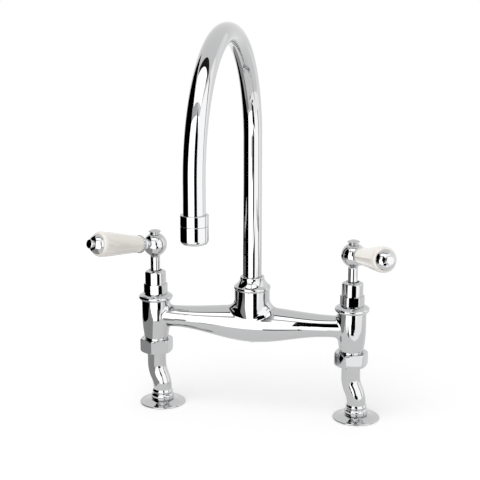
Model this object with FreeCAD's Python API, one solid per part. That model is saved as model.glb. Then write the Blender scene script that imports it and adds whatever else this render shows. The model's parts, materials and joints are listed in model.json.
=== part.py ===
import FreeCAD, Part
import math
import os

# Bridge kitchen mixer: two hot and cold pillars on cranked legs, joined by a cast bridge
# that carries a tall swivelling swan-neck spout.
# Frame: X along the bridge, the spout points to -Y, Z up.
# The origin is on the worktop, midway between the two tap holes.

# Stance on the worktop
tap_spacing = 200.0
crank_offset = 7.1
crank_bearing = -25.0

# Heights above the worktop
arm_axis_height = 92.4
arch_height = 274.4
outlet_height = 224.2

# Rises and drops from the axis of the arms
belly_sag = 2.7
barrel_rise = 17.0
barrel_drop = 22.4
chamber_drop = 13.4
boss_rise = 33.4

# Bridge casting
barrel_top_radius = 14.2
barrel_bottom_radius = 12.3
arm_end_radius = 10.8
belly_radius = 18.4
belly_reach = 80.0
boss_radius = 17.5
boss_blend = 9.0
barrel_blend = 4.0
channel_radius = 6.0
chamber_radius = 9.8
seat_hole_radius = 5.0
inlet_bore_radius = 6.5
spigot_radius = 11.4

# Legs, unions and worktop flanges
leg_radius = 9.4
leg_bore_radius = 6.0
leg_socket_radius = 7.48
leg_socket_depth = 12.0
leg_spigot_radius = 10.0
foot_bead_radius = 11.7
foot_bead_top = 10.2
foot_lip_top = 14.6
bend_above_lip = 0.9
bend_below_nut = 12.2
flange_radius = 23.3
flange_rim_height = 1.2
flange_hub_height = 3.8
flange_hub_radius = 12.6
flange_wall = 1.4
nut_across_flats = 30.0
nut_height = 13.6
nut_groove = 2.2
nut_lip = 3.2
leg_collar_height = 2.4
washer_height = 1.9

# Valve covers
ring_radius = 17.2
ring_height = 5.9
ring_edge = 4.4
lower_hex_flats = 21.6
lower_hex_height = 10.2
upper_hex_flats = 19.2
upper_hex_height = 13.9
left_hex_turn = 20.0
right_hex_turn = 11.0
left_nut_turn = 27.0
right_nut_turn = 19.0
bonnet_bore_radius = 7.65
bonnet_shank_length = 10.4
bonnet_wall = 3.4
recess_radius = 6.4
recess_depth = 1.5

# Quarter-turn ceramic cartridges
seal_height = 2.6
disc_radius = 7.1
disc_height = 3.4
disc_gap = 0.05
cartridge_skirt_radius = 8.9
cartridge_flange_height = 2.6
cartridge_neck_radius = 7.5
disc_cavity_depth = 13.4
spindle_radius = 4.0
spindle_below_ball = 2.4
running_gap = 0.10
spline_teeth = 20
spline_tooth_height = 0.4
spline_length = 12.0
o_ring_thickness = 1.5
clip_thickness = 0.8

# Lever handles
lever_bearing = 60.0
lever_rise = 10.4
ball_rise = 26.6
ball_radius = 12.0
stem_radius = 4.75
cap_radius = 6.2
cap_neck_radius = 4.8
cap_seat_drop = 1.2
cap_skirt_height = 2.9
cap_dome_height = 1.8
neck_radius = 5.0
neck_length = 1.4
ferrule_length = 7.6
ferrule_wall = 0.4
sleeve_length = 55.4
sleeve_radii = [8.4, 8.95, 9.8, 10.8, 11.8, 12.3]
end_cap_radius = 9.8
end_cap_length = 7.0
knob_radius = 4.4
knob_length = 2.7
lever_rod_radius = 2.5
screw_radius = 2.0
screw_head_radius = 3.4
screw_head_height = 3.0

# Spout
tube_radius = 9.25
tube_wall = 1.1
arch_radius = 110.0
shoulder_radius = 18.2
shoulder_neck_radius = 11.9
shoulder_height = 13.3
shoulder_bead = 3.4
shoulder_thread_radius = 14.4
spout_spigot_radius = 10.0
spout_spigot_bore = 7.2
spout_spigot_length = 18.8
spout_seat_depth = 10.2
spout_flange_height = 2.45
thrust_washer_height = 1.25
swivel_collar_height = 8.5
swivel_collar_wall = 1.35
spout_o_ring_thickness = 1.6
spout_o_ring_heights = [5.5, 11.5]
nozzle_radius = 11.6
nozzle_ring_height = 9.1
aerator_height = 15.4
mouth_round = 4.2
aerator_wall = 2.2
aerator_thread_radius = 10.3
aerator_spigot_height = 2.9
aerator_washer_height = 1.4
aerator_lip = 1.4
aerator_shelf = 2.5
strainer_height = 0.6
jet_radius = 0.9
jet_pitch = 3.0
strainer_hole_radius = 0.8
strainer_pitch = 3.2

# Small gaps between neighbours
slide_gap = 0.3
film = 0.05

UP = FreeCAD.Vector(0, 0, 1)
ZERO = FreeCAD.Vector(0, 0, 0)

# Derived places
crank_x = crank_offset * math.cos(math.radians(crank_bearing))
crank_y = crank_offset * math.sin(math.radians(crank_bearing))
spout_x = -crank_x
spout_y = -crank_y
belly_axis_height = arm_axis_height - belly_sag
barrel_top = arm_axis_height + barrel_rise
barrel_bottom = arm_axis_height - barrel_drop
chamber_floor = arm_axis_height - chamber_drop
boss_top = arm_axis_height + boss_rise
nut_top = barrel_bottom - nut_groove
nut_bottom = nut_top - nut_height
leg_bend_top = nut_bottom - bend_below_nut
leg_bend_bottom = foot_lip_top + bend_above_lip
leg_top = nut_bottom + nut_lip + leg_collar_height
spigot_bottom = leg_top + washer_height
seal_top = chamber_floor + seal_height
upper_disc_bottom = seal_top + disc_height + disc_gap
upper_disc_top = upper_disc_bottom + disc_height
cavity_top = seal_top + disc_cavity_depth
shank_bottom = barrel_top - bonnet_shank_length
cartridge_flange_bottom = shank_bottom - cartridge_flange_height
ring_top = barrel_top + ring_height
lower_hex_top = ring_top + lower_hex_height
bonnet_top = lower_hex_top + upper_hex_height
recess_floor = bonnet_top - recess_depth
bonnet_bore_top = recess_floor - bonnet_wall - 6.0
cartridge_top = bonnet_bore_top - 2.0
ball_height = bonnet_top + ball_rise
spindle_top = ball_height - spindle_below_ball

# Heights in the swivel, from the boss mouth down
lower_washer_bottom = boss_top - spout_seat_depth
swivel_flange_bottom = lower_washer_bottom + thrust_washer_height + film
swivel_flange_top = swivel_flange_bottom + spout_flange_height
upper_washer_bottom = swivel_flange_top + film
upper_washer_top = upper_washer_bottom + thrust_washer_height
tube_end = swivel_flange_bottom + 0.6
swivel_collar_top = swivel_flange_top + swivel_collar_height
swivel_collar_radius = tube_radius + swivel_collar_wall
spout_spigot_foot = swivel_flange_bottom - spout_spigot_length
shoulder_top = boss_top + shoulder_height
spout_tip_y = -2 * arch_radius
nozzle_seam = outlet_height + aerator_height
nozzle_top = nozzle_seam + nozzle_ring_height
nozzle_shelf = nozzle_seam + aerator_spigot_height + aerator_washer_height
strainer_top = nozzle_seam - aerator_shelf
strainer_bottom = strainer_top - strainer_height
insert_bottom = outlet_height + aerator_lip
aerator_bore_radius = nozzle_radius - aerator_wall
tube_bore_radius = tube_radius - tube_wall

# Heights in the valve, from the cartridge up
o_ring_height = cartridge_top - 8.0
clip_bottom = cartridge_top + running_gap
stem_bottom = recess_floor + slide_gap
screw_seat = spindle_top + 2.6
cap_plug_bottom = screw_seat + screw_head_height + 0.8
cap_seat = ball_height + ball_radius - cap_seat_drop
cap_edge = cap_seat + cap_skirt_height
cap_top = cap_edge + cap_dome_height

# Places along the lever, from the ball's centre
neck_reach = ball_radius + neck_length
sleeve_start = neck_reach + ferrule_length
sleeve_end = sleeve_start + sleeve_length
ferrule_radius = sleeve_radii[0] + 0.1 + ferrule_wall

sides = {
    "left": {"sign": -1, "hex_turn": left_hex_turn, "nut_turn": left_nut_turn},
    "right": {"sign": 1, "hex_turn": right_hex_turn, "nut_turn": right_nut_turn},
}


def at(x, y, z):
    return FreeCAD.Vector(x, y, z)


# A closed outline in the XZ plane. Each step is (r, z) for a straight line,
# (r, z, r_mid, z_mid) for an arc, or a list of (r, z) that a smooth curve passes through.
def outline(start, *steps):
    edges = []
    here = at(start[0], 0, start[1])
    for step in list(steps) + [start]:
        if isinstance(step, list):
            through = [here] + [at(r, 0, z) for r, z in step]
            curve = Part.BSplineCurve()
            curve.interpolate(through)
            edges.append(curve.toShape())
            here = through[-1]
            continue
        there = at(step[0], 0, step[1])
        if here.distanceToPoint(there) < 1e-6:
            continue
        if len(step) == 4:
            edges.append(Part.Arc(here, at(step[2], 0, step[3]), there).toShape())
        else:
            edges.append(Part.makeLine(here, there))
        here = there
    return Part.Wire(edges)


# The outline step for a spherical crown that rises from (radius, edge) to (0, top)
def crown(radius, edge, top):
    rise = top - edge
    sphere = (radius * radius + rise * rise) / (2 * rise)
    middle = radius / 2
    drop = sphere - math.sqrt(sphere * sphere - middle * middle)
    return (0, top, middle, top - drop)


# A solid of revolution about the Z axis
def turned(start, *steps):
    return Part.Face(outline(start, *steps)).revolve(ZERO, UP, 360)


def rod(radius, bottom, top, x=0.0, y=0.0):
    return Part.makeCylinder(radius, top - bottom, at(x, y, bottom))


def tube(outer, inner, bottom, top):
    return rod(outer, bottom, top).cut(rod(inner, bottom, top))


def torus(major, thickness, height):
    return Part.makeTorus(major, thickness / 2, at(0, 0, height))


# A hexagonal prism; turn is the bearing of one flat from the front, towards +X
def hexagon(across_flats, bottom, top, turn):
    corner = across_flats / 2 / math.cos(math.pi / 6)
    points = []
    for k in range(7):
        angle = math.radians(turn - 90 + 30 + 60 * k)
        points.append(at(corner * math.cos(angle), corner * math.sin(angle), bottom))
    return Part.Face(Part.makePolygon(points)).extrude(at(0, 0, top - bottom))


# The nearly square-edged turning that chamfers a hexagon's corners top and bottom
def chamfer_blank(across_flats, bottom, top, bottom_chamfer, top_chamfer):
    corner = across_flats / 2 / math.cos(math.pi / 6)
    return turned(
        (0, bottom),
        (corner - 1.8 * bottom_chamfer, bottom),
        (corner + 0.1, bottom + bottom_chamfer),
        (corner + 0.1, top - top_chamfer),
        (corner - 1.8 * top_chamfer, top),
        (0, top),
    )


def moved(shape, x, y, z=0.0):
    return shape.translated(at(x, y, z))


def on_pillar(shape, side):
    return moved(shape, spout_x + side["sign"] * tap_spacing / 2, spout_y)


# Lever pieces are built along +Z from the ball's centre, then aimed outwards and forwards
def on_lever(shape, side):
    bearing = 180 + lever_bearing if side["sign"] < 0 else -lever_bearing
    aimed = shape.copy()
    aimed.rotate(ZERO, at(0, 1, 0), 90 - lever_rise)
    aimed.rotate(ZERO, UP, bearing)
    return on_pillar(moved(aimed, 0, 0, ball_height), side)


# ---- bridge casting

# 1 at the middle of the bridge, falling smoothly to 0 where the arms turn straight
def belly_share(x):
    reach = min(1.0, abs(x) / belly_reach)
    return 0.5 * (1 + math.cos(math.pi * reach))


# The two arms and the belly between them: round sections that swell and sag to the middle
def bridge_arms():
    count = 16
    sections = []
    for k in range(count + 1):
        x = tap_spacing * (k / count - 0.5)
        share = belly_share(x)
        radius = arm_end_radius + (belly_radius - arm_end_radius) * share
        height = arm_axis_height + (belly_axis_height - arm_axis_height) * share
        circle = Part.Circle(at(x, 0, height), at(1, 0, 0), radius)
        sections.append(Part.Wire(circle.toShape()))
    return Part.makeLoft(sections, True, False)


def spout_boss():
    return rod(boss_radius, belly_axis_height, boss_top)


# Tapered pillar barrel that ends in the spigot for the union nut
def barrel():
    middle = (barrel_top_radius + barrel_bottom_radius) / 2
    waist = (barrel_top + barrel_bottom) / 2
    return turned(
        (0, spigot_bottom),
        (spigot_radius, spigot_bottom),
        (spigot_radius, barrel_bottom),
        (barrel_bottom_radius - 0.5, barrel_bottom),
        (barrel_bottom_radius, barrel_bottom + 0.5),
        (barrel_top_radius, arm_axis_height + 4, middle + 0.35, waist - 5),
        (barrel_top_radius, barrel_top),
        (0, barrel_top),
    )


# Long curved edges where the boss meets the arms
def boss_seams(shape):
    picked = []
    for edge in shape.Edges:
        middle = edge.CenterOfMass
        if edge.Curve.TypeId != "Part::GeomBSplineCurve" or edge.BoundBox.YLength < 0.01:
            continue
        if abs(middle.x) < 1.4 * boss_radius and middle.z > belly_axis_height + 0.5:
            picked.append(edge)
    return picked


# Curved edges where the arms run into the barrels
def barrel_seams(shape):
    picked = []
    nearest = tap_spacing / 2 - barrel_top_radius
    for edge in shape.Edges:
        box = edge.BoundBox
        if edge.Curve.TypeId != "Part::GeomBSplineCurve" or box.YLength < 0.5:
            continue
        if abs(abs(edge.CenterOfMass.x) - nearest) < 4 and box.XLength < 9:
            picked.append(edge)
    return picked


# Threaded mouth of the boss, the spout's running bore and the well beneath it
def boss_bores():
    mouth = shoulder_thread_radius + running_gap
    bores = rod(mouth, boss_top - spout_seat_depth, boss_top)
    bores = bores.fuse(rod(spout_spigot_radius + film, arm_axis_height + 4, boss_top))
    return bores.fuse(rod(spout_spigot_bore, arm_axis_height - 2, boss_top))


def pillar_bores():
    bores = rod(chamber_radius, chamber_floor, barrel_top)
    bores = bores.fuse(rod(seat_hole_radius, spigot_bottom, barrel_top))
    return bores.fuse(rod(inlet_bore_radius, spigot_bottom, chamber_floor - 3))


def bridge_body():
    casting = bridge_arms().fuse(spout_boss())
    casting = casting.makeFillet(boss_blend, boss_seams(casting))
    half = tap_spacing / 2
    casting = casting.fuse([moved(barrel(), -half, 0), moved(barrel(), half, 0)])
    casting = casting.makeFillet(barrel_blend, barrel_seams(casting))
    start = at(-half, 0, arm_axis_height)
    channel = Part.makeCylinder(channel_radius, tap_spacing, start, at(1, 0, 0))
    hollow = [channel, boss_bores()]
    hollow += [moved(pillar_bores(), -half, 0), moved(pillar_bores(), half, 0)]
    return moved(casting.cut(hollow), spout_x, spout_y)


# ---- legs and unions

# Centre line of a cranked leg: straight, an S of two equal arcs, straight
def leg_path(top, bottom):
    rise = leg_bend_top - leg_bend_bottom
    bend = 2 * math.atan(crank_offset / rise)
    radius = rise / 2 / math.sin(bend)
    half_bend = bend / 2
    middle = (leg_bend_top + leg_bend_bottom) / 2
    drift = radius * (1 - math.cos(half_bend))
    drop = radius * math.sin(half_bend)
    upper = at(drift, 0, leg_bend_top - drop)
    lower = at(crank_offset - drift, 0, leg_bend_bottom + drop)
    knee = at(crank_offset / 2, 0, middle)
    ankle = at(crank_offset, 0, leg_bend_bottom)
    edges = [
        Part.makeLine(at(0, 0, top), at(0, 0, leg_bend_top)),
        Part.Arc(at(0, 0, leg_bend_top), upper, knee).toShape(),
        Part.Arc(knee, lower, ankle).toShape(),
        Part.makeLine(ankle, at(crank_offset, 0, bottom)),
    ]
    return Part.Wire(edges)


def leg_pipe(radius, top, bottom):
    ring = Part.Wire(Part.Circle(at(0, 0, top), UP, radius).toShape())
    return leg_path(top, bottom).makePipeShell([ring], True, True)


# Beads that end the leg above the flange, and the spigot that passes through it
def leg_foot():
    bead_middle = (flange_hub_height + foot_bead_top) / 2
    foot = turned(
        (0, 0),
        (leg_spigot_radius, 0),
        (leg_spigot_radius, flange_hub_height),
        (foot_bead_radius - 1.2, flange_hub_height),
        (foot_bead_radius - 1.2, foot_bead_top, foot_bead_radius + 0.1, bead_middle),
        (leg_spigot_radius - 0.2, foot_bead_top + 0.5),
        (leg_spigot_radius + 0.2, foot_bead_top + 1.2),
        (leg_spigot_radius, foot_lip_top - 0.8),
        (leg_radius, foot_lip_top),
        (0, foot_lip_top),
    )
    return moved(foot, crank_offset, 0)


def leg(side):
    collar = rod(spigot_radius - 0.2, leg_top - leg_collar_height, leg_top)
    solid = leg_pipe(leg_radius, leg_top, leg_bend_bottom - 4).fuse([collar, leg_foot()])
    bore = leg_pipe(leg_bore_radius, leg_top, leg_socket_depth - 1)
    socket = rod(leg_socket_radius, 0, leg_socket_depth, crank_offset)
    solid = solid.cut([bore, socket])
    solid.rotate(ZERO, UP, crank_bearing)
    return on_pillar(solid, side)


# Dished worktop flange, hollow underneath, standing on its rim and its hub
def foot_flange(side):
    hub_inner = leg_spigot_radius + film
    rim_inner = flange_radius - 2.6
    under = flange_hub_height - flange_wall
    dish = [(19.5, 1.95), (15.8, 2.75), (flange_hub_radius, flange_hub_height)]
    flange = turned(
        (hub_inner, 0),
        (flange_hub_radius - 0.8, 0),
        (flange_hub_radius - 0.8, under - 0.6),
        (rim_inner, flange_rim_height - 0.5),
        (rim_inner, 0),
        (flange_radius - 0.3, 0),
        (flange_radius, 0.3),
        (flange_radius - 0.7, flange_rim_height + 0.45, flange_radius - 0.1, flange_rim_height),
        dish,
        (hub_inner, flange_hub_height),
    )
    return moved(flange, side["sign"] * tap_spacing / 2, 0)


def union_nut(side):
    blank = chamfer_blank(nut_across_flats, nut_bottom, nut_top, 0.9, 0.7)
    nut = hexagon(nut_across_flats, nut_bottom, nut_top, side["nut_turn"]).common(blank)
    nut = nut.cut(rod(leg_radius + running_gap, nut_bottom, nut_top))
    nut = nut.cut(rod(spigot_radius + film, nut_bottom + nut_lip, nut_top))
    return on_pillar(nut, side)


def union_washer(side):
    return on_pillar(tube(spigot_radius - 0.2, leg_bore_radius + 0.5, leg_top, spigot_bottom), side)


# ---- valve covers and cartridges

# Domed ring between the pillar barrel and the bonnet's hexagons
def cover_ring(side):
    inner = chamber_radius + film
    edge_top = barrel_top + ring_edge
    shelf = lower_hex_flats / 2
    ring = turned(
        (inner, barrel_top),
        (ring_radius - 1.3, barrel_top),
        (ring_radius - 1.5, edge_top, ring_radius, barrel_top + 0.45 * ring_edge),
        (shelf, ring_top, (ring_radius + shelf) / 2 - 0.4, (edge_top + ring_top) / 2 + 0.35),
        (inner, ring_top),
    )
    return on_pillar(ring, side)


# Two-step hexagonal bonnet with a domed top, a recess round the stem and a threaded shank
def bonnet(side):
    turn = side["hex_turn"]
    low_blank = chamfer_blank(lower_hex_flats, ring_top, lower_hex_top, 0.9, 0.5)
    low = hexagon(lower_hex_flats, ring_top, lower_hex_top, turn).common(low_blank)
    corner = upper_hex_flats / 2 / math.cos(math.pi / 6)
    dome = turned(
        (0, lower_hex_top),
        (corner + 0.1, lower_hex_top),
        (corner + 0.1, bonnet_top - 5.2),
        (recess_radius + 1.0, bonnet_top, corner - 1.1, bonnet_top - 1.7),
        (0, bonnet_top),
    )
    high = hexagon(upper_hex_flats, lower_hex_top, bonnet_top, turn).common(dome)
    shank = rod(chamber_radius, shank_bottom, ring_top)
    solid = low.fuse([high, shank])
    solid = solid.cut(rod(bonnet_bore_radius, shank_bottom, bonnet_bore_top))
    solid = solid.cut(rod(spindle_radius + running_gap, shank_bottom, bonnet_top))
    solid = solid.cut(rod(recess_radius, recess_floor, bonnet_top))
    return on_pillar(solid, side)


def seat_seal(side):
    ring = tube(cartridge_skirt_radius, seat_hole_radius + 0.2, chamber_floor, seal_top)
    return on_pillar(ring, side)


# Slots that let the water out over the moving disc
def cartridge_windows():
    height = cavity_top - upper_disc_top - 2.6
    corner = at(-chamber_radius, -4.5, upper_disc_top + 0.6)
    return Part.makeBox(2 * chamber_radius, 9.0, height, corner)


def cartridge_body(side):
    shell = turned(
        (disc_radius + film, seal_top),
        (cartridge_skirt_radius, seal_top),
        (cartridge_skirt_radius, cartridge_flange_bottom),
        (chamber_radius - film, cartridge_flange_bottom),
        (chamber_radius - film, shank_bottom),
        (cartridge_neck_radius, shank_bottom),
        (cartridge_neck_radius, cartridge_top - 0.6),
        (cartridge_neck_radius - 0.6, cartridge_top),
        (spindle_radius + running_gap, cartridge_top),
        (spindle_radius + running_gap, cavity_top),
        (disc_radius + film, cavity_top),
    )
    return on_pillar(shell.cut(cartridge_windows()), side)


# Two opposite fan-shaped ports through a disc
def disc_ports(bottom, top, bearing):
    ports = []
    for start in (bearing - 42, bearing + 138):
        fan = Part.makeCylinder(5.3, top - bottom, at(0, 0, bottom), UP, 84)
        fan = fan.cut(rod(1.8, bottom, top))
        fan.rotate(ZERO, UP, start)
        ports.append(fan)
    return ports


def lower_disc(side):
    disc = rod(disc_radius, seal_top, seal_top + disc_height)
    return on_pillar(disc.cut(disc_ports(seal_top, seal_top + disc_height, 0)), side)


# The moving disc follows the lever: its ports stand over the lower ones when fully open
def upper_disc(side):
    bearing = side["sign"] * (90 - lever_bearing)
    disc = rod(disc_radius - film, upper_disc_bottom, upper_disc_top)
    return on_pillar(disc.cut(disc_ports(upper_disc_bottom, upper_disc_top, bearing)), side)


def spline_outline(radius, height):
    points = []
    for k in range(2 * spline_teeth + 1):
        angle = math.pi * k / spline_teeth
        reach = radius if k % 2 == 0 else radius - spline_tooth_height
        points.append(at(reach * math.cos(angle), reach * math.sin(angle), height))
    return Part.makePolygon(points)


def spline_bar(radius, bottom, top):
    return Part.Face(spline_outline(radius, bottom)).extrude(at(0, 0, top - bottom))


# Spindle: driver on the moving disc, thrust collar, O-ring and clip grooves, splined top
def spindle(side):
    groove_floor = spindle_radius + running_gap - film - o_ring_thickness
    groove_half = o_ring_thickness / 2 + 0.1
    clip_floor = spindle_radius - 0.6
    solid = turned(
        (0, upper_disc_top),
        (spindle_radius, upper_disc_top),
        (spindle_radius, cavity_top - 1.5),
        (disc_radius - 0.6, cavity_top - 1.5),
        (disc_radius - 0.6, cavity_top - film),
        (spindle_radius, cavity_top - film),
        (spindle_radius, o_ring_height - groove_half),
        (groove_floor, o_ring_height - groove_half),
        (groove_floor, o_ring_height + groove_half),
        (spindle_radius, o_ring_height + groove_half),
        (spindle_radius, clip_bottom),
        (clip_floor, clip_bottom),
        (clip_floor, clip_bottom + clip_thickness),
        (spindle_radius, clip_bottom + clip_thickness),
        (spindle_radius, spindle_top - spline_length),
        (0, spindle_top - spline_length),
    )
    bearing = side["sign"] * (90 - lever_bearing)
    key = Part.makeBox(1.6, 11.6, 1.4, at(-0.8, -5.8, upper_disc_top))
    key.rotate(ZERO, UP, bearing)
    solid = solid.fuse([key, spline_bar(spindle_radius - film, spindle_top - spline_length, spindle_top)])
    solid = solid.cut(rod(screw_radius, spindle_top - 9, spindle_top))
    return on_pillar(solid, side)


def spindle_o_ring(side):
    major = spindle_radius + running_gap - film - o_ring_thickness / 2
    return on_pillar(torus(major, o_ring_thickness, o_ring_height), side)


# Open circlip above the cartridge
def spindle_clip(side):
    ring = tube(spindle_radius + 1.5, spindle_radius - 0.6, clip_bottom, clip_bottom + clip_thickness)
    opening = Part.makeBox(8, 3.0, clip_thickness, at(0, -1.5, clip_bottom))
    return on_pillar(ring.cut(opening), side)


# ---- lever handles

# Ball with the stem sleeve below it and a short neck towards the lever
def handle_hub(side):
    ball = Part.makeSphere(ball_radius, at(0, 0, ball_height))
    ball = ball.cut(rod(cap_neck_radius + 0.6, cap_seat, cap_top))
    south = ball_height - ball_radius
    sleeve = turned(
        (0, stem_bottom),
        (stem_radius - 0.3, stem_bottom),
        (stem_radius, stem_bottom + 0.3),
        (stem_radius, south - 0.6),
        (stem_radius + 1.3, south + 1.1, stem_radius + 0.25, south + 0.5),
        (0, ball_height),
    )
    solid = on_pillar(ball.fuse(sleeve), side)
    solid = solid.fuse(on_lever(rod(neck_radius, 3, neck_reach), side))
    splined = spline_bar(spindle_radius, spindle_top - spline_length, spindle_top + film)
    bores = rod(spindle_radius + film, stem_bottom, spindle_top - spline_length)
    bores = bores.fuse([splined, rod(screw_radius + 0.1, stem_bottom, cap_seat)])
    bores = bores.fuse(rod(screw_head_radius + 0.2, screw_seat, cap_seat))
    bores = bores.fuse(rod(cap_neck_radius - 0.4, cap_plug_bottom, cap_seat))
    solid = solid.cut(on_pillar(bores, side))
    return solid.cut(on_lever(rod(lever_rod_radius, 6.4, neck_reach), side))


def handle_screw(side):
    screw = rod(screw_radius, spindle_top - 8, screw_seat + 0.5)
    head = turned(
        (0, screw_seat),
        (screw_head_radius, screw_seat),
        (screw_head_radius, screw_seat + screw_head_height - 0.8),
        (screw_head_radius - 0.8, screw_seat + screw_head_height),
        (0, screw_seat + screw_head_height),
    )
    recess = hexagon(2.5, screw_seat + 1.2, screw_seat + screw_head_height, 0)
    return on_pillar(screw.fuse(head).cut(recess), side)


# Domed button that closes the ball, with a waisted neck
def index_cap(side):
    waist = (cap_seat + cap_edge - 0.9) / 2
    cap = turned(
        (0, cap_plug_bottom + 0.2),
        (cap_neck_radius - 0.45, cap_plug_bottom + 0.2),
        (cap_neck_radius - 0.45, cap_seat),
        (cap_neck_radius + 0.5, cap_seat),
        (cap_neck_radius + 0.4, cap_edge - 0.9, cap_neck_radius - 0.3, waist),
        (cap_radius, cap_edge, cap_radius - 0.2, cap_edge - 0.6),
        crown(cap_radius, cap_edge, cap_top),
    )
    return on_pillar(cap, side)


def lever_rod(side):
    return on_lever(rod(lever_rod_radius, 6.6, sleeve_end + end_cap_length + 1.6), side)


# Waisted collar that opens into the shallow cup behind the porcelain
def lever_ferrule(side):
    cup_floor = sleeve_start
    rim = sleeve_start + 2.3
    ferrule = turned(
        (lever_rod_radius, neck_reach),
        (neck_radius + 0.5, neck_reach),
        (neck_radius + 0.5, neck_reach + 1.7, neck_radius + 0.95, neck_reach + 0.85),
        (neck_radius - 0.1, neck_reach + 2.2),
        (neck_radius - 0.1, neck_reach + 2.8),
        (ferrule_radius - 0.2, cup_floor - 0.7, neck_radius + 1.2, neck_reach + 4.9),
        (ferrule_radius + 0.1, cup_floor + 0.6),
        (ferrule_radius, rim),
        (sleeve_radii[0] + 0.1, rim),
        (sleeve_radii[0] + 0.1, cup_floor),
        (lever_rod_radius, cup_floor),
    )
    return on_lever(ferrule, side)


# Porcelain sleeve: swells towards the hand and rounds in to the end cap
def lever_sleeve(side):
    bore = lever_rod_radius + 0.2
    swell_end = sleeve_end - 4.6
    first, *others = sleeve_radii
    step = (swell_end - sleeve_start) / len(others)
    swell = [(radius, sleeve_start + step * (k + 1)) for k, radius in enumerate(others)]
    sleeve = turned(
        (bore, sleeve_start),
        (first, sleeve_start),
        swell,
        (end_cap_radius + 0.3, sleeve_end, sleeve_radii[-1] - 0.6, sleeve_end - 1.5),
        (bore, sleeve_end),
    )
    return on_lever(sleeve, side)


def lever_end_cap(side):
    end = sleeve_end + end_cap_length
    cap = turned(
        (lever_rod_radius, sleeve_end),
        (end_cap_radius - 0.3, sleeve_end),
        (end_cap_radius, sleeve_end + 0.6),
        (knob_radius - 0.6, end, end_cap_radius - 1.9, end - 2.6),
        (lever_rod_radius, end),
    )
    return on_lever(cap, side)


# Flat-faced finial nut on the end of the rod
def lever_knob(side):
    start = sleeve_end + end_cap_length
    waist = start + 1.2
    end = waist + knob_length
    knob = turned(
        (0, start),
        (knob_radius - 0.9, start),
        (knob_radius - 0.9, waist, knob_radius - 1.3, start + 0.6),
        (knob_radius, waist + 0.9),
        (knob_radius, end - 0.8),
        (knob_radius - 0.8, end, knob_radius - 0.2, end - 0.25),
        crown(knob_radius - 0.8, end, end + 0.25),
    )
    return on_lever(knob.cut(rod(lever_rod_radius, start, start + 1.8)), side)


# ---- spout

def on_spout(shape):
    return moved(shape, spout_x, spout_y)


def on_nozzle(shape):
    return moved(shape, spout_x, spout_y + spout_tip_y)


# Conical shoulder nut that covers the swivel and screws into the boss
def spout_shoulder_nut():
    neck = shoulder_neck_radius
    nut = turned(
        (swivel_collar_radius + slide_gap, upper_washer_top),
        (shoulder_thread_radius, upper_washer_top),
        (shoulder_thread_radius, boss_top),
        (shoulder_radius - 0.5, boss_top),
        (shoulder_radius - 0.3, boss_top + shoulder_bead, shoulder_radius, boss_top + shoulder_bead / 2),
        (shoulder_radius - 1.1, boss_top + shoulder_bead + 0.5),
        (neck + 0.2, shoulder_top - 2.8, neck + 1.6, shoulder_top - 5.4),
        (neck + 0.2, shoulder_top - 0.9),
        (neck - 0.6, shoulder_top, neck, shoulder_top - 0.3),
        (tube_radius + slide_gap, shoulder_top),
        (tube_radius + slide_gap, swivel_collar_top + 1.0),
        (swivel_collar_radius + slide_gap, swivel_collar_top + 1.0),
    )
    return on_spout(nut)


def thrust_washer(bottom):
    washer = tube(shoulder_thread_radius - film, swivel_collar_radius + slide_gap, bottom,
                  bottom + thrust_washer_height)
    return on_spout(washer)


# Turned spigot brazed to the tube: flange, O-ring grooves and a socket for the tube
def spout_spigot():
    solid = turned(
        (spout_spigot_bore, spout_spigot_foot),
        (spout_spigot_radius - 0.6, spout_spigot_foot),
        (spout_spigot_radius, spout_spigot_foot + 0.6),
        (spout_spigot_radius, swivel_flange_bottom),
        (shoulder_thread_radius - slide_gap, swivel_flange_bottom),
        (shoulder_thread_radius - slide_gap, swivel_flange_top),
        (swivel_collar_radius, swivel_flange_top),
        (swivel_collar_radius, swivel_collar_top),
        (tube_radius, swivel_collar_top),
        (tube_radius, tube_end),
        (spout_spigot_bore, tube_end),
    )
    floor = spout_spigot_radius - spout_o_ring_thickness
    half = spout_o_ring_thickness / 2 + 0.2
    for rise in spout_o_ring_heights:
        height = spout_spigot_foot + rise
        solid = solid.cut(tube(spout_spigot_radius + 1, floor, height - half, height + half))
    return on_spout(solid)


def spout_o_rings():
    major = spout_spigot_radius - spout_o_ring_thickness / 2
    rings = []
    for rise in spout_o_ring_heights:
        rings.append(torus(major, spout_o_ring_thickness, spout_spigot_foot + rise))
    return on_spout(Part.makeCompound(rings))


# Swan neck: a half circle between two straight runs, open right through
def spout_tube():
    ring = Part.Face([
        Part.Wire(Part.Circle(at(0, 0, arch_height), UP, tube_radius).toShape()),
        Part.Wire(Part.Circle(at(0, 0, arch_height), UP, tube_bore_radius).toShape()),
    ])
    arch = ring.revolve(at(0, -arch_radius, arch_height), at(1, 0, 0), 180)
    rise = tube(tube_radius, tube_bore_radius, tube_end, arch_height)
    drop = moved(tube(tube_radius, tube_bore_radius, nozzle_shelf, arch_height), 0, spout_tip_y)
    return on_spout(arch.fuse([rise, drop]))


# Ring brazed round the tube's end, threaded inside for the aerator
def nozzle_ring():
    ring = turned(
        (aerator_thread_radius, nozzle_seam),
        (nozzle_radius - 0.35, nozzle_seam),
        (nozzle_radius, nozzle_seam + 0.35),
        (nozzle_radius, nozzle_top - 0.6),
        (nozzle_radius - 0.6, nozzle_top, nozzle_radius - 0.18, nozzle_top - 0.18),
        (tube_radius, nozzle_top),
        (tube_radius, nozzle_shelf),
        (aerator_thread_radius, nozzle_shelf),
    )
    return on_nozzle(ring)


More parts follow.
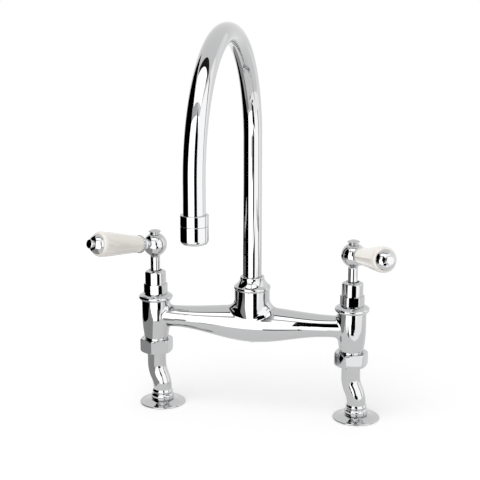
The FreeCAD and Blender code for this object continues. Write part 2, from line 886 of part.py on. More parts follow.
def aerator_housing():
    lip = nozzle_radius - mouth_round
    bulge = mouth_round * (1 - math.sqrt(0.5))
    top = nozzle_seam + aerator_spigot_height
    housing = turned(
        (aerator_bore_radius, insert_bottom),
        (lip + 0.4, insert_bottom),
        (lip, outlet_height),
        (nozzle_radius, outlet_height + mouth_round, nozzle_radius - bulge, outlet_height + bulge),
        (nozzle_radius, nozzle_seam - 0.35),
        (nozzle_radius - 0.35, nozzle_seam),
        (aerator_thread_radius - film, nozzle_seam),
        (aerator_thread_radius - film, top),
        (tube_bore_radius, top),
        (tube_bore_radius, strainer_top),
        (aerator_bore_radius, strainer_top),
    )
    return on_nozzle(housing)


def aerator_washer():
    top = nozzle_seam + aerator_spigot_height
    return on_nozzle(tube(aerator_thread_radius - 0.2, tube_bore_radius, top, nozzle_shelf))


# Places of a round honeycomb of holes
def honeycomb(pitch, reach):
    places = []
    rows = int(reach / pitch) + 1
    for row in range(-rows, rows + 1):
        for column in range(-rows, rows + 1):
            x = pitch * (column + 0.5 * (row % 2))
            y = pitch * row * math.sqrt(3) / 2
            if math.hypot(x, y) <= reach:
                places.append((x, y))
    return places


# Moulded aerator insert with a honeycomb of jets at the mouth
def aerator_insert():
    places = honeycomb(jet_pitch, aerator_bore_radius - 2.4)
    jets = [rod(jet_radius, insert_bottom, strainer_bottom, x, y) for x, y in places]
    solid = rod(aerator_bore_radius, insert_bottom, strainer_bottom)
    solid = solid.cut(rod(aerator_bore_radius - 1.2, insert_bottom + 3.0, strainer_bottom))
    return on_nozzle(solid.cut(jets))


# Fine strainer disc above the insert
def aerator_mesh():
    disc = rod(aerator_bore_radius, strainer_bottom, strainer_top)
    places = honeycomb(strainer_pitch, aerator_bore_radius - 2.4)
    holes = [rod(strainer_hole_radius, strainer_bottom, strainer_top, x, y) for x, y in places]
    return on_nozzle(disc.cut(holes))


side_makers = {
    "foot_flange": foot_flange,
    "leg": leg,
    "union_nut": union_nut,
    "union_washer": union_washer,
    "cover_ring": cover_ring,
    "bonnet": bonnet,
    "seat_seal": seat_seal,
    "cartridge_body": cartridge_body,
    "lower_disc": lower_disc,
    "upper_disc": upper_disc,
    "spindle": spindle,
    "spindle_o_ring": spindle_o_ring,
    "spindle_clip": spindle_clip,
    "handle_hub": handle_hub,
    "handle_screw": handle_screw,
    "index_cap": index_cap,
    "lever_rod": lever_rod,
    "lever_ferrule": lever_ferrule,
    "lever_sleeve": lever_sleeve,
    "lever_end_cap": lever_end_cap,
    "lever_knob": lever_knob,
}


def all_nodes():
    nodes = {
        "bridge_body": bridge_body(),
        "spout_shoulder_nut": spout_shoulder_nut(),
        "spout_lower_washer": thrust_washer(lower_washer_bottom),
        "spout_upper_washer": thrust_washer(upper_washer_bottom),
        "spout_spigot": spout_spigot(),
        "spout_o_rings": spout_o_rings(),
        "spout_tube": spout_tube(),
        "nozzle_ring": nozzle_ring(),
        "aerator_housing": aerator_housing(),
        "aerator_washer": aerator_washer(),
        "aerator_mesh": aerator_mesh(),
        "aerator_insert": aerator_insert(),
    }
    for name, side in sides.items():
        for piece, maker in side_makers.items():
            nodes[name + "_" + piece] = maker(side)
    return nodes


os.makedirs("parts", exist_ok=True)
for node, shape in all_nodes().items():
    shape.exportStep("parts/" + node + ".step")
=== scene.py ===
import json
import math

import bmesh
import bpy
import numpy as np
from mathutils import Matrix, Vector


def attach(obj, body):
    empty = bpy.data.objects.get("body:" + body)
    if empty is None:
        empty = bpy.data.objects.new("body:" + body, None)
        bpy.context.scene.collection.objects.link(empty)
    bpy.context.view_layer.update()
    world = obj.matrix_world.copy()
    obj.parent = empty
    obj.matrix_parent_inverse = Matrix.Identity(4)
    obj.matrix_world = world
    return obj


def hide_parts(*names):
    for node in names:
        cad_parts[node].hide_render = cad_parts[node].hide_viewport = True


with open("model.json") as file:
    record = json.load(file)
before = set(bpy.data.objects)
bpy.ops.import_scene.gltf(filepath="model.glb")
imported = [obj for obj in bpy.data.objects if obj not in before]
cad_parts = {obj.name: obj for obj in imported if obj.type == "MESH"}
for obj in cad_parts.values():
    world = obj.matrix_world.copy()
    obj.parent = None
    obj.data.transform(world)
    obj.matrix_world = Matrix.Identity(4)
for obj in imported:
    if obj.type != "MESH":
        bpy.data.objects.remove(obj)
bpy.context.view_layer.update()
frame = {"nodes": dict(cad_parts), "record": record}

nodes = frame["nodes"]
scene = bpy.context.scene
print("frame loaded:", len(nodes), "nodes")

mm = 0.001

# Places shared by the pieces, in mm: the feet stand at plus and minus footSpacing / 2,
# the pillars and the spout stand crankOffset away from them
layout = {
    "footSpacing": 200.0,
    "crankOffset": 7.1,
    "crankBearing": -25.0,
    "archRadius": 110.0,
    "archHeight": 274.4,
    "ballHeight": 166.0,
    "leverBearing": 60.0,
    "leverRise": 10.4,
}
crankAngle = math.radians(layout["crankBearing"])
spoutX = -layout["crankOffset"] * math.cos(crankAngle)
spoutY = -layout["crankOffset"] * math.sin(crankAngle)
halfSpan = layout["footSpacing"] / 2
sides = {"left": -1, "right": 1}


# ---- outlines

# Rounds the corners of an outline of (r, s, cut): each corner P becomes the curve
# (1-t)^2 A + 2t(1-t) P + t^2 B, with A and B the points cut away from P on both sides
def roundedOutline(corners, closed, steps=6):
    spots = np.array([corner[:2] for corner in corners], float)
    count = len(spots)
    t = np.linspace(0, 1, steps)[:, None]
    pieces = []
    for k, corner in enumerate(corners):
        cut = corner[2] if len(corner) > 2 else 0.0
        if cut == 0 or (not closed and k in (0, count - 1)):
            pieces.append(spots[k][None])
            continue
        here, before, after = spots[k], spots[k - 1], spots[(k + 1) % count]
        back, on = before - here, after - here
        backLength, onLength = np.linalg.norm(back), np.linalg.norm(on)
        a = here + back / backLength * min(cut, 0.45 * backLength)
        b = here + on / onLength * min(cut, 0.45 * onLength)
        pieces.append((1 - t) ** 2 * a + 2 * t * (1 - t) * here + t ** 2 * b)
    return supported(np.concatenate(pieces), closed)


# Adds points just beside each corner, so that flat runs keep a flat shading, and along long runs
def supported(spots, closed, longest=3.0, beside=0.04):
    count = len(spots)
    made = []
    for k in range(count if closed else count - 1):
        a, b = spots[k], spots[(k + 1) % count]
        length = np.linalg.norm(b - a)
        shares = [0.0]
        if length > 0.3:
            parts = max(1, int(length / longest))
            shares += [beside / length] + [j / parts for j in range(1, parts)] + [1 - beside / length]
        made += [a + (b - a) * share for share in shares]
    if not closed:
        made.append(spots[-1])
    return np.array(made)


# Points of a circular arc round (r, s), from one bearing to another in degrees
def arcPoints(r, s, radius, start, end, count=16):
    angle = np.radians(np.linspace(start, end, count))
    return [(r + radius * math.cos(a), s + radius * math.sin(a)) for a in angle]


# Points of the circular arc through three points: its centre is where the bisectors of the two
# chords cross, found from 2 (b - a) . c = |b|^2 - |a|^2 and the same for the other chord
def arcThrough(start, middle, end, count=9):
    a, b, c = (np.array(p, float) for p in (start, middle, end))
    chords = 2 * np.array([b - a, c - b])
    centre = np.linalg.solve(chords, [b @ b - a @ a, c @ c - b @ b])
    first, turn = a - centre, c - centre
    sweep = math.atan2(first[0] * turn[1] - first[1] * turn[0], first @ turn)
    half = b - centre
    side = math.atan2(first[0] * half[1] - first[1] * half[0], first @ half)
    if sweep * side < 0:
        sweep += 2 * math.pi * (1 if side > 0 else -1)
    lean = np.linspace(0, sweep, count)
    spots = [centre + (first[0] * math.cos(t) - first[1] * math.sin(t),
                       first[0] * math.sin(t) + first[1] * math.cos(t)) for t in lean]
    return [tuple(p) for p in spots]


# Points of a smooth curve through the given points, by Catmull-Rom pieces
def curvePoints(spots, steps=8):
    spots = np.array(spots, float)
    ends = np.vstack([2 * spots[0] - spots[1], spots, 2 * spots[-1] - spots[-2]])
    t = np.linspace(0, 1, steps, endpoint=False)[:, None]
    made = []
    for k in range(1, len(ends) - 2):
        a, b, c, d = ends[k - 1:k + 3]
        made.append(0.5 * (2 * b + (c - a) * t + (2 * a - 5 * b + 4 * c - d) * t ** 2
                           + (3 * b - a - 3 * c + d) * t ** 3))
    made.append(spots[-1:])
    return [tuple(p) for p in np.concatenate(made)]


# ---- paths: each gives centre, side and up for an array of places s along it

# Straight: centre = origin + s * along
def straightPath(origin, along):
    along = np.array(along, float) / np.linalg.norm(along)
    helper = np.array([0.0, 0, 1]) if abs(along[2]) < 0.9 else np.array([0.0, 1, 0])
    side = np.cross(helper, along)
    side /= np.linalg.norm(side)
    up = np.cross(along, side)

    def path(s):
        one = np.ones((len(s), 1))
        return np.array(origin) + s[:, None] * along, one * side, one * up
    return path


# Upright through the middle of a pillar: s is the height
def pillarPath(sign):
    return straightPath((spoutX + sign * halfSpan, spoutY, 0), (0, 0, 1))


# Out of the ball's centre, along the lever
def leverPath(sign):
    bearing = math.radians(180 + layout["leverBearing"] if sign < 0 else -layout["leverBearing"])
    rise = math.radians(layout["leverRise"])
    along = (math.cos(bearing) * math.cos(rise), math.sin(bearing) * math.cos(rise), math.sin(rise))
    return straightPath((spoutX + sign * halfSpan, spoutY, layout["ballHeight"]), along)


# Two runs and an S of two equal arcs: the lean is arcsin((z - foot of the bend) / R) up to the
# middle of the bend and falls back above it
def legPath(sign, bendBottom, bendTop):
    offset = layout["crankOffset"]
    rise = bendTop - bendBottom
    bend = 2 * math.atan(offset / rise)
    radius = rise / 2 / math.sin(bend)

    def path(s):
        below = np.clip(s - bendBottom, 0, rise / 2)
        above = np.clip(bendTop - s, 0, rise / 2)
        lean = np.where(s < (bendBottom + bendTop) / 2, np.arcsin(below / radius), np.arcsin(above / radius))
        lower = offset - radius * (1 - np.sqrt(1 - (below / radius) ** 2))
        upper = radius * (1 - np.sqrt(1 - (above / radius) ** 2))
        across = np.where(s < (bendBottom + bendTop) / 2, lower, upper)
        c, d = math.cos(crankAngle), math.sin(crankAngle)
        x = spoutX + sign * halfSpan
        centre = np.stack([x + across * c, spoutY + across * d, s], 1)
        side = np.stack([np.cos(lean) * c, np.cos(lean) * d, np.sin(lean)], 1)
        up = np.ones((len(s), 1)) * np.array([-d, c, 0])
        return centre, side, up
    return path


# Riser, half circle and falling end: s is the length along the tube from the height 0
def spoutPath(s):
    radius, height = layout["archRadius"], layout["archHeight"]
    turn = np.clip((s - height) / radius, 0, math.pi)
    rise = np.minimum(s, height)
    fall = np.maximum(s - height - math.pi * radius, 0)
    y = -radius + radius * np.cos(turn)
    z = rise + radius * np.sin(turn) - fall
    centre = np.stack([np.full(len(s), spoutX), spoutY + y, z], 1)
    side = np.ones((len(s), 1)) * np.array([1.0, 0, 0])
    up = np.stack([np.zeros(len(s)), np.cos(turn), np.sin(turn)], 1)
    return centre, side, up


nozzleY = spoutY - 2 * layout["archRadius"]
spoutAxis = straightPath((spoutX, spoutY, 0), (0, 0, 1))
nozzleAxis = straightPath((spoutX, nozzleY, 0), (0, 0, 1))


# ---- meshes

# Points, faces and normals of a grid. Rows run along the outline and columns round it. The normals
# are the cross product of the steps to the neighbouring columns and rows
def gridParts(points, closed):
    rows, columns = points.shape[:2]
    around = np.roll(points, -1, 1) - np.roll(points, 1, 1)
    if closed:
        along = np.roll(points, -1, 0) - np.roll(points, 1, 0)
    else:
        along = np.gradient(points, axis=0)
    normals = np.cross(around, along)
    index = np.arange(rows * columns).reshape(rows, columns)
    keep = np.ones(rows * columns, bool)
    if not closed:
        for row, sign in ((0, 1), (-1, -1)):
            if np.ptp(points[row], axis=0).max() < 1e-6:
                pole = np.cross(points[row + sign, 0] - points[row, 0],
                                points[row + sign, columns // 4] - points[row, 0]) * -sign
                normals[row] = pole
                keep[index[row, 1:]] = False
                index[row] = index[row, 0]
    ahead = np.roll(index, -1, 0) if closed else index[1:]
    here = index if closed else index[:-1]
    quads = np.stack([here, np.roll(here, -1, 1), np.roll(ahead, -1, 1), ahead], -1).reshape(-1, 4)
    length = np.linalg.norm(normals, axis=2, keepdims=True)
    normals = (normals / np.maximum(length, 1e-12)).reshape(-1, 3)[keep]
    renumber = np.cumsum(keep) - 1
    quads = renumber[quads]
    faces = quads.tolist()
    if not keep.all():
        faces = [[v for k, v in enumerate(quad) if v != quad[k - 1]] for quad in faces]
    return points.reshape(-1, 3)[keep], faces, normals


# A grid made a mesh piece that keeps the grid's normals; millimetres become metres here
def gridPiece(name, points, closed, material, body, replaced):
    spots, faces, normals = gridParts(points, closed)
    mesh = bpy.data.meshes.new(name)
    mesh.from_pydata((spots * mm).tolist(), [], faces)
    mesh.shade_smooth()
    mesh.normals_split_custom_set_from_vertices(normals.tolist())
    return finishPiece(name, mesh, material, body, replaced)


# Links a piece and says its body, its material slot and the CAD nodes that it replaces
def finishPiece(name, mesh, material, body, replaced):
    mesh.materials.append(material)
    piece = bpy.data.objects.new(name, mesh)
    scene.collection.objects.link(piece)
    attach(piece, body)
    if replaced:
        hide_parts(*replaced)
    return piece


# Radius of a hexagon of crowned faces at each angle. A face is an arc of the radius crown, so at the
# angle d from its middle it lies at c cos d + sqrt(crown^2 - (c sin d)^2), with c = flats/2 - crown.
# The p-mean of the six faces softens the corners. A softened minimum then holds the hexagon inside
# the outline's own radius
def hexRadius(angles, flats, turn, crown, softness=60):
    lean = angles[:, None] - np.radians(turn - 90 + 60 * np.arange(6))
    offset = flats / 2 - crown
    reach = offset * np.cos(lean) + np.sqrt(crown ** 2 - (offset * np.sin(lean)) ** 2)
    return (reach ** -softness).sum(1) ** (-1 / softness)


# Softened smaller value of a and b: (a^-p + b^-p)^(-1/p)
def softMinimum(a, b, softness=60):
    return (a ** -softness + b ** -softness) ** (-1 / softness)


# Columns gathered towards the corners of a hexagon: 30 sign(u) |u|^gather degrees from each corner,
# for u from -1 to 1
def hexAngles(turn, perFace=20, gather=1.8):
    u = np.linspace(-1, 1, perFace, endpoint=False)
    spread = 30 * np.sign(u) * np.abs(u) ** gather
    corners = turn - 60 + 60 * np.arange(6)
    return np.radians((corners[:, None] + spread).ravel())


# Carries an outline of (r, s) round a path: point = centre(s) + r (cos a side(s) + sin a up(s))
def sweptPiece(name, outline, path, closed, material, body, replaced=(), columns=96):
    angles = np.linspace(0, 2 * math.pi, columns, endpoint=False)
    reach = np.repeat(outline[:, :1], columns, 1)
    return carried(name, outline, reach, angles, path, closed, material, body, replaced)


# point = centre(s) + reach(s, a) (cos a side(s) + sin a up(s)), with a reach for each angle
def carried(name, outline, reach, angles, path, closed, material, body, replaced):
    centre, side, up = path(outline[:, 1])
    ring = np.cos(angles)[None, :, None] * side[:, None] + np.sin(angles)[None, :, None] * up[:, None]
    points = centre[:, None] + reach[:, :, None] * ring
    return gridPiece(name, points, closed, material, body, replaced)


# The same with hexagons: faces holds the width across flats and the crown at each place of the outline
def hexPiece(name, outline, faces, turn, path, material, body, replaced):
    angles = hexAngles(turn)
    limit = np.stack([hexRadius(angles, flats, turn, crown) for flats, crown in faces])
    reach = softMinimum(np.maximum(outline[:, :1], 0.01), limit)
    return carried(name, outline, reach, angles, path, True, material, body, replaced)


# ---- materials

# The start of a node group: its sockets, and noise on object coordinates at the given scale. Each
# socket is a name and a kind, and the last node is the one that the noise feeds
def noiseGroup(name, inputs, output, detail, last):
    group = bpy.data.node_groups.new(name, "ShaderNodeTree")
    for way, sockets in (("INPUT", inputs), ("OUTPUT", [output])):
        for label, kind in sockets:
            group.interface.new_socket(name=label, in_out=way, socket_type="NodeSocket" + kind)
    put, link = group.nodes.new, group.links.new
    start, end = put("NodeGroupInput"), put("NodeGroupOutput")
    place, noise, last = put("ShaderNodeTexCoord"), put("ShaderNodeTexNoise"), put(last)
    noise.inputs["Detail"].default_value = detail
    link(place.outputs["Object"], noise.inputs["Vector"])
    link(start.outputs["Scale"], noise.inputs["Scale"])
    return group, start, end, noise, last


# A group that turns noise into a value between low and high, in patches of the given scale
def makeHazeGroup():
    inputs = [("Scale", "Float"), ("Low", "Float"), ("High", "Float")]
    group, start, end, noise, span = noiseGroup("hazePatches", inputs, ("Value", "Float"), 3.0,
                                                "ShaderNodeMapRange")
    span.inputs["From Min"].default_value = 0.35
    span.inputs["From Max"].default_value = 0.70
    link = group.links.new
    link(noise.outputs["Fac"], span.inputs["Value"])
    link(start.outputs["Low"], span.inputs["To Min"])
    link(start.outputs["High"], span.inputs["To Max"])
    link(span.outputs["Result"], end.inputs["Value"])
    return group


# A group that mixes two colours by noise of the given scale
def makeMottleGroup():
    inputs = [("Scale", "Float"), ("First", "Color"), ("Second", "Color")]
    group, start, end, noise, mix = noiseGroup("mottledColour", inputs, ("Color", "Color"), 5.0,
                                               "ShaderNodeMix")
    mix.data_type = "RGBA"
    link = group.links.new
    link(noise.outputs["Fac"], mix.inputs["Factor"])
    link(start.outputs["First"], mix.inputs["A"])
    link(start.outputs["Second"], mix.inputs["B"])
    link(mix.outputs["Result"], end.inputs["Color"])
    return group


# A group for fine unevenness: the bump of noise at one scale, as a normal
def makeRippleGroup():
    inputs = [("Scale", "Float"), ("Height", "Float")]
    group, start, end, noise, bump = noiseGroup("fineRipple", inputs, ("Normal", "Vector"), 1.0,
                                                "ShaderNodeBump")
    bump.inputs["Distance"].default_value = 0.001
    link = group.links.new
    link(noise.outputs["Fac"], bump.inputs["Height"])
    link(start.outputs["Height"], bump.inputs["Strength"])
    link(bump.outputs["Normal"], end.inputs["Normal"])
    return group


groups = {"haze": makeHazeGroup(), "mottle": makeMottleGroup(), "ripple": makeRippleGroup()}

# What can be changed on each finish: two colours that the mottle mixes, the mottle's scale,
# the range and scale of the roughness, the ripple's scale and height, and the shader's own values
finishes = {
    "polishedChrome": {
        "colours": ((0.50, 0.503, 0.51), (0.53, 0.532, 0.537)), "mottleScale": 30.0,
        "roughness": (0.015, 0.045), "hazeScale": 55.0, "ripple": (90.0, 0.010),
        "shader": {"Metallic": 1.0},
    },
    "castChrome": {
        "colours": ((0.495, 0.498, 0.505), (0.525, 0.528, 0.533)), "mottleScale": 25.0,
        "roughness": (0.02, 0.055), "hazeScale": 45.0, "ripple": (60.0, 0.035),
        "shader": {"Metallic": 1.0},
    },
    "glazedPorcelain": {
        "colours": ((0.92, 0.88, 0.815), (0.95, 0.915, 0.86)), "mottleScale": 45.0,
        "roughness": (0.10, 0.18), "hazeScale": 70.0, "ripple": (70.0, 0.012),
        "shader": {"Coat Weight": 0.6, "Coat Roughness": 0.04, "IOR": 1.5},
    },
    "machinedBrass": {
        "colours": ((0.70, 0.50, 0.22), (0.78, 0.58, 0.28)), "mottleScale": 120.0,
        "roughness": (0.18, 0.32), "hazeScale": 200.0, "ripple": (900.0, 0.05),
        "shader": {"Metallic": 1.0},
    },
    "lappedCeramic": {
        "colours": ((0.80, 0.79, 0.76), (0.86, 0.855, 0.83)), "mottleScale": 300.0,
        "roughness": (0.20, 0.30), "hazeScale": 400.0, "ripple": (1500.0, 0.03),
        "shader": {"IOR": 1.6},
    },
    "blackRubber": {
        "colours": ((0.018, 0.018, 0.019), (0.035, 0.035, 0.036)), "mottleScale": 500.0,
        "roughness": (0.45, 0.65), "hazeScale": 300.0, "ripple": (1800.0, 0.12),
        "shader": {},
    },
    "mouldedPlastic": {
        "colours": ((0.62, 0.62, 0.60), (0.70, 0.70, 0.68)), "mottleScale": 250.0,
        "roughness": (0.35, 0.5), "hazeScale": 300.0, "ripple": (1500.0, 0.06),
        "shader": {},
    },
    "stainlessSteel": {
        "colours": ((0.50, 0.50, 0.50), (0.58, 0.58, 0.575)), "mottleScale": 400.0,
        "roughness": (0.22, 0.38), "hazeScale": 500.0, "ripple": (2200.0, 0.06),
        "shader": {"Metallic": 1.0},
    },
}


# One Principled shader: the mottle feeds its colour, the haze its roughness, the ripple its normal
def makeFinish(name, values):
    material = bpy.data.materials.new(name)
    material.use_nodes = True
    tree = material.node_tree
    shader = tree.nodes["Principled BSDF"]
    for socket, value in values["shader"].items():
        shader.inputs[socket].default_value = value
    placed = {}
    for kind, group in groups.items():
        placed[kind] = tree.nodes.new("ShaderNodeGroup")
        placed[kind].node_tree = group
    first, second = values["colours"]
    placed["mottle"].inputs["Scale"].default_value = values["mottleScale"]
    placed["mottle"].inputs["First"].default_value = (*first, 1)
    placed["mottle"].inputs["Second"].default_value = (*second, 1)
    placed["haze"].inputs["Scale"].default_value = values["hazeScale"]
    placed["haze"].inputs["Low"].default_value = values["roughness"][0]
    placed["haze"].inputs["High"].default_value = values["roughness"][1]
    placed["ripple"].inputs["Scale"].default_value = values["ripple"][0]
    placed["ripple"].inputs["Height"].default_value = values["ripple"][1]
    tree.links.new(placed["mottle"].outputs["Color"], shader.inputs["Base Color"])
    tree.links.new(placed["haze"].outputs["Value"], shader.inputs["Roughness"])
    tree.links.new(placed["ripple"].outputs["Normal"], shader.inputs["Normal"])
    return material


materials = {name: makeFinish(name, values) for name, values in finishes.items()}
chrome = materials["polishedChrome"]
print("materials made:", len(materials))


# ---- spout

spoutShape = {"tubeRadius": 9.25, "wall": 1.1, "tubeStart": 119.7, "tubeEnd": 243.9,
              "ringRadius": 11.6, "ringBottom": 239.6, "ringTop": 248.7, "outlet": 224.2,
              "insertBottom": 225.6, "threadRadius": 10.3, "ringShelf": 243.9, "mouthRound": 4.2,
              "sleeveWall": 2.2, "sleeveTop": 2.9, "washerBore": 8.15, "washerDrop": 2.5}


# The wall's outline carried along the swan neck, whose length is 2 height + pi radius - end
def makeSpoutTube():
    v = spoutShape
    length = 2 * layout["archHeight"] + math.pi * layout["archRadius"] - v["tubeEnd"]
    outer, inner = v["tubeRadius"], v["tubeRadius"] - v["wall"]
    corners = [(inner, v["tubeStart"]), (outer, v["tubeStart"]), (outer, length), (inner, length)]
    outline = roundedOutline(corners, True)
    sweptPiece("swanNeckTube", outline, spoutPath, True, chrome, "spout", replaced=["spout_tube"])


# Ring round the tube's end, with a shelf inside that the tube stops on
def makeNozzleRing():
    v = spoutShape
    radius, bottom, top = v["ringRadius"], v["ringBottom"], v["ringTop"]
    corners = [(v["threadRadius"], bottom), (radius, bottom, 0.45), (radius, top, 0.7),
               (v["tubeRadius"] + 0.02, top, 0.1), (v["tubeRadius"] + 0.02, v["ringShelf"]),
               (v["threadRadius"], v["ringShelf"])]
    sweptPiece("outletRing", roundedOutline(corners, True), nozzleAxis, True, chrome, "spout",
               replaced=["nozzle_ring"])


# The sleeve's mouth is a quarter round, and a fine groove stands where it meets the ring
def makeAeratorHousing():
    v = spoutShape
    radius, low, seam, mouth = v["ringRadius"], v["outlet"], v["ringBottom"], v["mouthRound"]
    inner = radius - v["sleeveWall"]
    corners = [(inner, v["insertBottom"]), (radius - mouth + 0.4, v["insertBottom"])]
    corners += arcPoints(radius - mouth, low + mouth, mouth, -90, 0, 13)
    corners += [(radius, seam - 0.05, 0.45), (v["threadRadius"] - 0.05, seam - 0.05),
                (v["threadRadius"] - 0.05, seam + v["sleeveTop"]), (v["washerBore"], seam + v["sleeveTop"]),
                (v["washerBore"], seam - v["washerDrop"]), (inner, seam - v["washerDrop"])]
    sweptPiece("aeratorSleeve", roundedOutline(corners, True), nozzleAxis, True, chrome, "spout",
               replaced=["aerator_housing"])


shoulderShape = {"radius": 18.2, "neck": 11.9, "bottom": 125.8, "height": 13.3, "bead": 3.4, "thread": 14.4,
                 "inside": 120.65, "bore": 10.9, "ledge": 128.85, "topBore": 9.55}


# Conical shoulder nut: a crowned rim, a small step, a hollow slope up to the neck and its rounded lip
def makeShoulderNut():
    v = shoulderShape
    radius, neck, low, rim = v["radius"], v["neck"], v["bottom"], v["bottom"] + v["bead"]
    top = low + v["height"]
    corners = [(v["bore"], v["inside"]), (v["thread"], v["inside"], 0.3), (v["thread"], low)]
    corners += arcThrough((radius - 0.5, low), (radius, low + v["bead"] / 2), (radius - 0.3, rim))
    corners += arcThrough((radius - 1.1, rim + 0.5), (neck + 1.6, top - 5.4), (neck + 0.2, top - 2.8), 16)
    corners += arcThrough((neck + 0.2, top - 0.9), (neck, top - 0.3), (neck - 0.6, top), 6)
    corners += [(v["topBore"], top, 0.2), (v["topBore"], v["ledge"]), (v["bore"], v["ledge"])]
    sweptPiece("shoulderNut", roundedOutline(corners, True), spoutAxis, True, chrome, "mixer_body",
               replaced=["spout_shoulder_nut"])


makeSpoutTube()
makeNozzleRing()
makeAeratorHousing()
makeShoulderNut()
print("spout made")


# ---- bridge casting

bridgeShape = {"armRadius": 10.8, "bellyRadius": 18.4, "bellyReach": 80.0, "axis": 92.4, "sag": 2.7,
               "planRound": 14.0, "planReach": 78.0, "bossRadius": 17.5, "bossTop": 125.8, "bossBlend": 9.0,
               "barrelTop": 109.4, "barrelBottom": 70.0, "wide": 14.2, "narrow": 12.3, "taperTop": 91.0,
               "taperBottom": 70.5, "taperPower": 1.7, "barrelBlend": 4.0,
               "cell": 1.3, "spigot": 11.4, "spigotBottom": 61.7, "pitch": 1.8, "threadDepth": 0.35,
               "bossSide": 60.0, "farSide": 200.0, "skinGap": 0.15, "skinLean": 0.9}


# 0.5 (1 + cos(pi |x| / reach)): 1 at the middle of the bridge and 0 where the arms run straight
def bellyShare(x):
    return 0.5 * (1 + np.cos(math.pi * np.minimum(1, np.abs(x) / bridgeShape["bellyReach"])))


# Seen from above the belly narrows evenly: 1 - (sqrt(x^2 + a^2) - a) / (span - a), not below 0
def planShare(x):
    v = bridgeShape
    return np.clip(1 - (np.hypot(x, v["planRound"]) - v["planRound"]) / v["planReach"], 0, None)


# Barrel radius: wide above the taper, and below it less by the share of the taper to a power
def barrelRadius(z):
    v = bridgeShape
    down = np.clip((v["taperTop"] - z) / (v["taperTop"] - v["taperBottom"]), 0, None)
    return v["wide"] - (v["wide"] - v["narrow"]) * down ** v["taperPower"]


# Union of two fields a and b with a rolled fillet. c is the cosine between their gradients, and
# u = radius - a, v = radius - b. Between the two contact lines, where u > v c and v > u c, the
# value is radius - sqrt((u^2 + v^2 - 2 u v c) / (1 - c^2)), and elsewhere the smaller of a and b
def rolledUnion(a, b, c, radius):
    u, v = radius - a, radius - b
    spread = np.maximum(1 - c * c, 1e-4)
    rolled = radius - np.sqrt(np.maximum(u * u + v * v - 2 * u * v * c, 0) / spread)
    between = (u > 0) & (v > 0) & (u > v * c) & (v > u * c)
    return np.where(between, rolled, np.minimum(a, b))


# Distance-like field of the casting's skin, below 0 inside. p is relative to the bridge's middle
def bridgeField(p):
    v = bridgeShape
    x, y, z = p.T
    share = bellyShare(x)
    height = z - v["axis"] + v["sag"] * share
    swell = v["bellyRadius"] - v["armRadius"]
    radius = v["armRadius"] + swell * share
    depth = v["armRadius"] + swell * planShare(x)
    reach = np.hypot(y * radius / depth, height)
    arms = reach - radius + 3 * np.maximum(np.abs(x) - halfSpan, 0)
    around = np.hypot(x, y)
    boss = around - v["bossRadius"] + np.maximum(v["axis"] - v["sag"] - z, 0)
    across = y * y / np.maximum(reach, 1) / np.maximum(around, 1)
    body = rolledUnion(arms, boss, across, v["bossBlend"])
    offset = np.abs(x) - halfSpan
    around = np.hypot(offset, y)
    barrel = around - barrelRadius(z)
    across = y * y / np.maximum(reach, 1) / np.maximum(around, 1)
    return rolledUnion(body, barrel, across, v["barrelBlend"])


# Slopes of the field by central differences: (f(p + h) - f(p - h)) / 2h along each axis
def bridgeSlope(p, step=0.02):
    ways = np.eye(3) * step
    return np.stack([(bridgeField(p + way) - bridgeField(p - way)) / (2 * step) for way in ways], 1)


# A closed shell of revolution as a mesh object that is only used for making others
def rawShell(name, outlines, voxel=0.0):
    spots, faces, count = [], [], 0
    for outline, path in outlines:
        angles = np.linspace(0, 2 * math.pi, 72, endpoint=False)
        outline = np.array(outline, float)
        centre, side, up = path(outline[:, 1])
        ring = np.cos(angles)[None, :, None] * side[:, None] + np.sin(angles)[None, :, None] * up[:, None]
        points, polygons, _ = gridParts(centre[:, None] + outline[:, :1, None] * ring, False)
        spots.append(points)
        faces += [[corner + count for corner in polygon] for polygon in polygons]
        count += len(points)
    mesh = bpy.data.meshes.new(name)
    mesh.from_pydata(np.concatenate(spots).tolist(), [], faces)
    shell = bpy.data.objects.new(name, mesh)
    scene.collection.objects.link(shell)
    if voxel:
        modifier = shell.modifiers.new("cells", "REMESH")
        modifier.mode = "VOXEL"
        modifier.voxel_size = voxel
    return shell


# The mesh as its modifiers leave it
def evaluatedMesh(piece):
    bpy.context.view_layer.update()
    return bpy.data.meshes.new_from_object(piece.evaluated_get(bpy.context.evaluated_depsgraph_get()))


# Places of the vertices, one row each
def meshSpots(mesh):
    spots = np.empty(len(mesh.vertices) * 3)
    mesh.vertices.foreach_get("co", spots)
    return spots.reshape(-1, 3)


